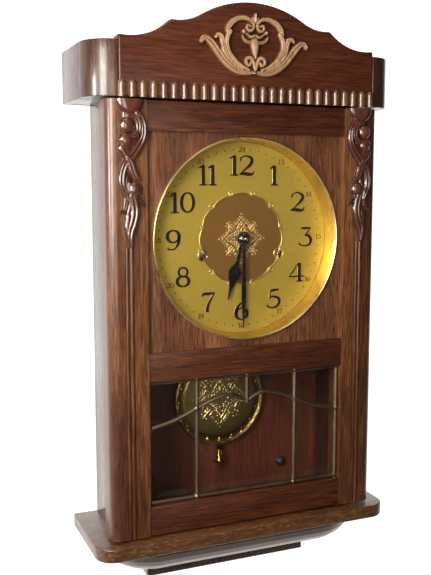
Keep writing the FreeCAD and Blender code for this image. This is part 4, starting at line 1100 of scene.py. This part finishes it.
# ---- pendulum -----------------------------------------------------------------------
def bob_height():
    lines = filigree(0.62 * BOB_R)
    scallops = []
    count = 20
    ring = 0.9 * BOB_R
    for i in range(count):
        start = 2 * math.pi * i / count
        marks = []
        for k in range(7):
            t = k / 6
            turn = start + 2 * math.pi / count * t
            r = ring + 0.05 * BOB_R * math.sin(math.pi * t)
            marks.append((r * math.cos(turn), r * math.sin(turn), 0.6 * MM))
        scallops.append((marks, 0.9 * MM))
        c, s = math.cos(start), math.sin(start)
        scallops.append(([(ring * c, ring * s, 1.4 * MM), ((ring - 2 * MM) * c, (ring - 2 * MM) * s,
                                                           0.8 * MM)], 1.3 * MM))
    wires = raised_lines(lines + scallops)

    def height_at(xs, zs):
        r = np.hypot(xs, zs) / BOB_R
        dish = 2.0 * MM * np.clip(1 - (r / 0.82) ** 2, 0, 1)
        step = 1.0 * MM * (1 / (1 + np.exp((r - 0.82) * 60)))
        rim = 1.5 * MM * np.exp(-((r - 0.965) / 0.03) ** 2)
        return dish + step + rim + wires(xs, zs)
    return height_at


bob_front = BOB_Y - 1.2 * MM
place("bob_disc", pressed_disc(BOB_R, 210, 400, (0, BOB_Z), bob_front, bob_height(), BOB_Y + 1.5 * MM),
      BOB_BRASS,
      ("pendulum_bob",), sharp=80)
rim = section([(-2.2, -1.6), (-0.6, -2.2), (0, -0.8), (0, 1.2), (-1.2, 2.4), (-3, 1.6)], BOB_Y, BOB_R)
place("bob_rim", lathe(rim, 0, BOB_Z, 160), OLD_BRASS, body="bob", slot="brass_polished")


# ---- screws in the hinge leaves and nails in the back, from one rule -------------------
SCREWS = screw_rule()
LEAF_LOW, LEAF_HIGH = box_of("hinge_case_leaves")
leaf_x = LEAF_LOW[0] + 1.2 * MM
for label, z in (("upper", LEAF_HIGH[2] - 30 * MM), ("lower", LEAF_LOW[2] + 6 * MM)):
    SCREWS.grow(label + "_hinge_screws", {
        "Count": 3, "Start": (leaf_x, LEAF_HIGH[1] - 9 * MM, z), "Step": (0, 0, 12 * MM), "Radius": 2.2 * MM,
        "Rise": 0.7 * MM, "Turn": (0, math.pi / 2, 0), "Material": OLD_BRASS,
    }, body="case", slot="brass_aged")
BACK_LOW, BACK_HIGH = box_of("backboard")
for side in (-1, 1):
    SCREWS.grow(("left" if side < 0 else "right") + "_back_nails", {
        "Count": 9, "Start": (side * (BACK_HIGH[0] - 6 * MM), BACK_HIGH[1] - 0.15 * MM,
                              BACK_LOW[2] + 22 * MM),
        "Step": (0, 0, (BACK_HIGH[2] - BACK_LOW[2] - 44 * MM) / 8), "Radius": 1.9 * MM, "Rise": 0.14 * MM,
        "Turn": (math.pi / 2, 0, 0), "Material": IRON,
    }, body="case", slot="iron_black")


# ---- room -------------------------------------------------------------------------
def sheet(name, points, colour, glow, far, near):
    """Pale glowing sheet whose colour and glow fade to painted shade between y = far and y = near."""
    mesh = bpy.data.meshes.new(name)
    mesh.from_pydata(points, [], [(0, 1, 2, 3)])
    m = Finish(name, Roughness=0.9, Specular_IOR_Level=0.0)
    split = m.node("ShaderNodeSeparateXYZ")
    m.link(m.place, split.inputs[0])
    reach = m.node("ShaderNodeMapRange")
    m.link(split.outputs["Y"], reach.inputs["Value"])
    reach.inputs["From Min"].default_value = near
    reach.inputs["From Max"].default_value = far
    # painted shade: the sheet darkens towards y = near
    shade = m.ramp(reach.outputs[0], (0.0, 0.03), (1.0, 1.0))
    m.paint("Base Color", m.mix(1.0, shade, colour, "MULTIPLY"))
    m.paint("Emission Color", m.mix(1.0, shade, (1, 0.985, 0.965), "MULTIPLY"))
    m.shader.inputs["Emission Strength"].default_value = glow
    mesh.materials.append(m.made)
    linked(name, mesh)


# The floor glows as painted light and fades to painted shade in front of the clock; the backdrop stays evenly
# bright.
floor_z = CAD_BOX[0][2] - 0.25
sheet("floor", [(-5, -5, floor_z), (5, -5, floor_z), (5, 1.9, floor_z), (-5, 1.9, floor_z)],
      (0.8, 0.79, 0.77),
      0.62, 0.3, -0.5)
sheet("backdrop", [(-5, 1.9, floor_z), (5, 1.9, floor_z), (5, 1.9, 4), (-5, 1.9, 4)], (0.85, 0.84, 0.82),
      0.86, 1.0,
      0.5)


def lamp(name, spot, aim, size, power, colour=(1, 1, 1)):
    light = bpy.data.lights.new(name, "AREA")
    light.shape = "RECTANGLE"
    light.size, light.size_y = size
    light.energy = power
    light.color = colour
    made = linked(name, light)
    made.location = spot
    made.rotation_euler = (Vector(aim) - Vector(spot)).to_track_quat("-Z", "Y").to_euler()
    made.visible_camera = False


lamp("window light", (-0.62, -0.66, 0.02), (-0.03, -0.08, -0.18), (0.3, 0.5), 9.5, (1, 0.94, 0.85))
lamp("front light", (-0.28, -1.1, -0.15), (-0.08, -0.08, -0.28), (0.3, 0.5), 2.3, (1, 0.94, 0.87))
lamp("edge light", (-1.25, -0.42, -0.06), (-0.1, -0.1, -0.1), (0.16, 0.24), 8.5, (1, 0.97, 0.94))
lamp("ceiling", (-0.3, -0.9, 1.9), (0, -0.1, -0.2), (1.2, 1.2), 9, (1, 0.96, 0.92))
lamp("rear light", (0.6, 1.6, 1.2), (0, 0, -0.2), (1.2, 1.2), 9)
world = bpy.data.worlds.new("room")
bpy.context.scene.world = world
world.use_nodes = True
world.node_tree.nodes["Background"].inputs["Color"].default_value = (1, 0.93, 0.86, 1)
world.node_tree.nodes["Background"].inputs["Strength"].default_value = 0.045
bpy.context.scene.view_settings.view_transform = "Standard"

camera = linked("camera", bpy.data.cameras.new("camera"))
camera.data.lens = 51.88
camera.location = (-0.3745, -0.8915, -0.1102)
yaw, pitch = math.radians(22.90), math.radians(-6.89)
look = Vector((math.sin(yaw) * math.cos(pitch), math.cos(yaw) * math.cos(pitch), math.sin(pitch)))
camera.rotation_euler = look.to_track_quat("-Z", "Y").to_euler()
bpy.context.scene.camera = camera
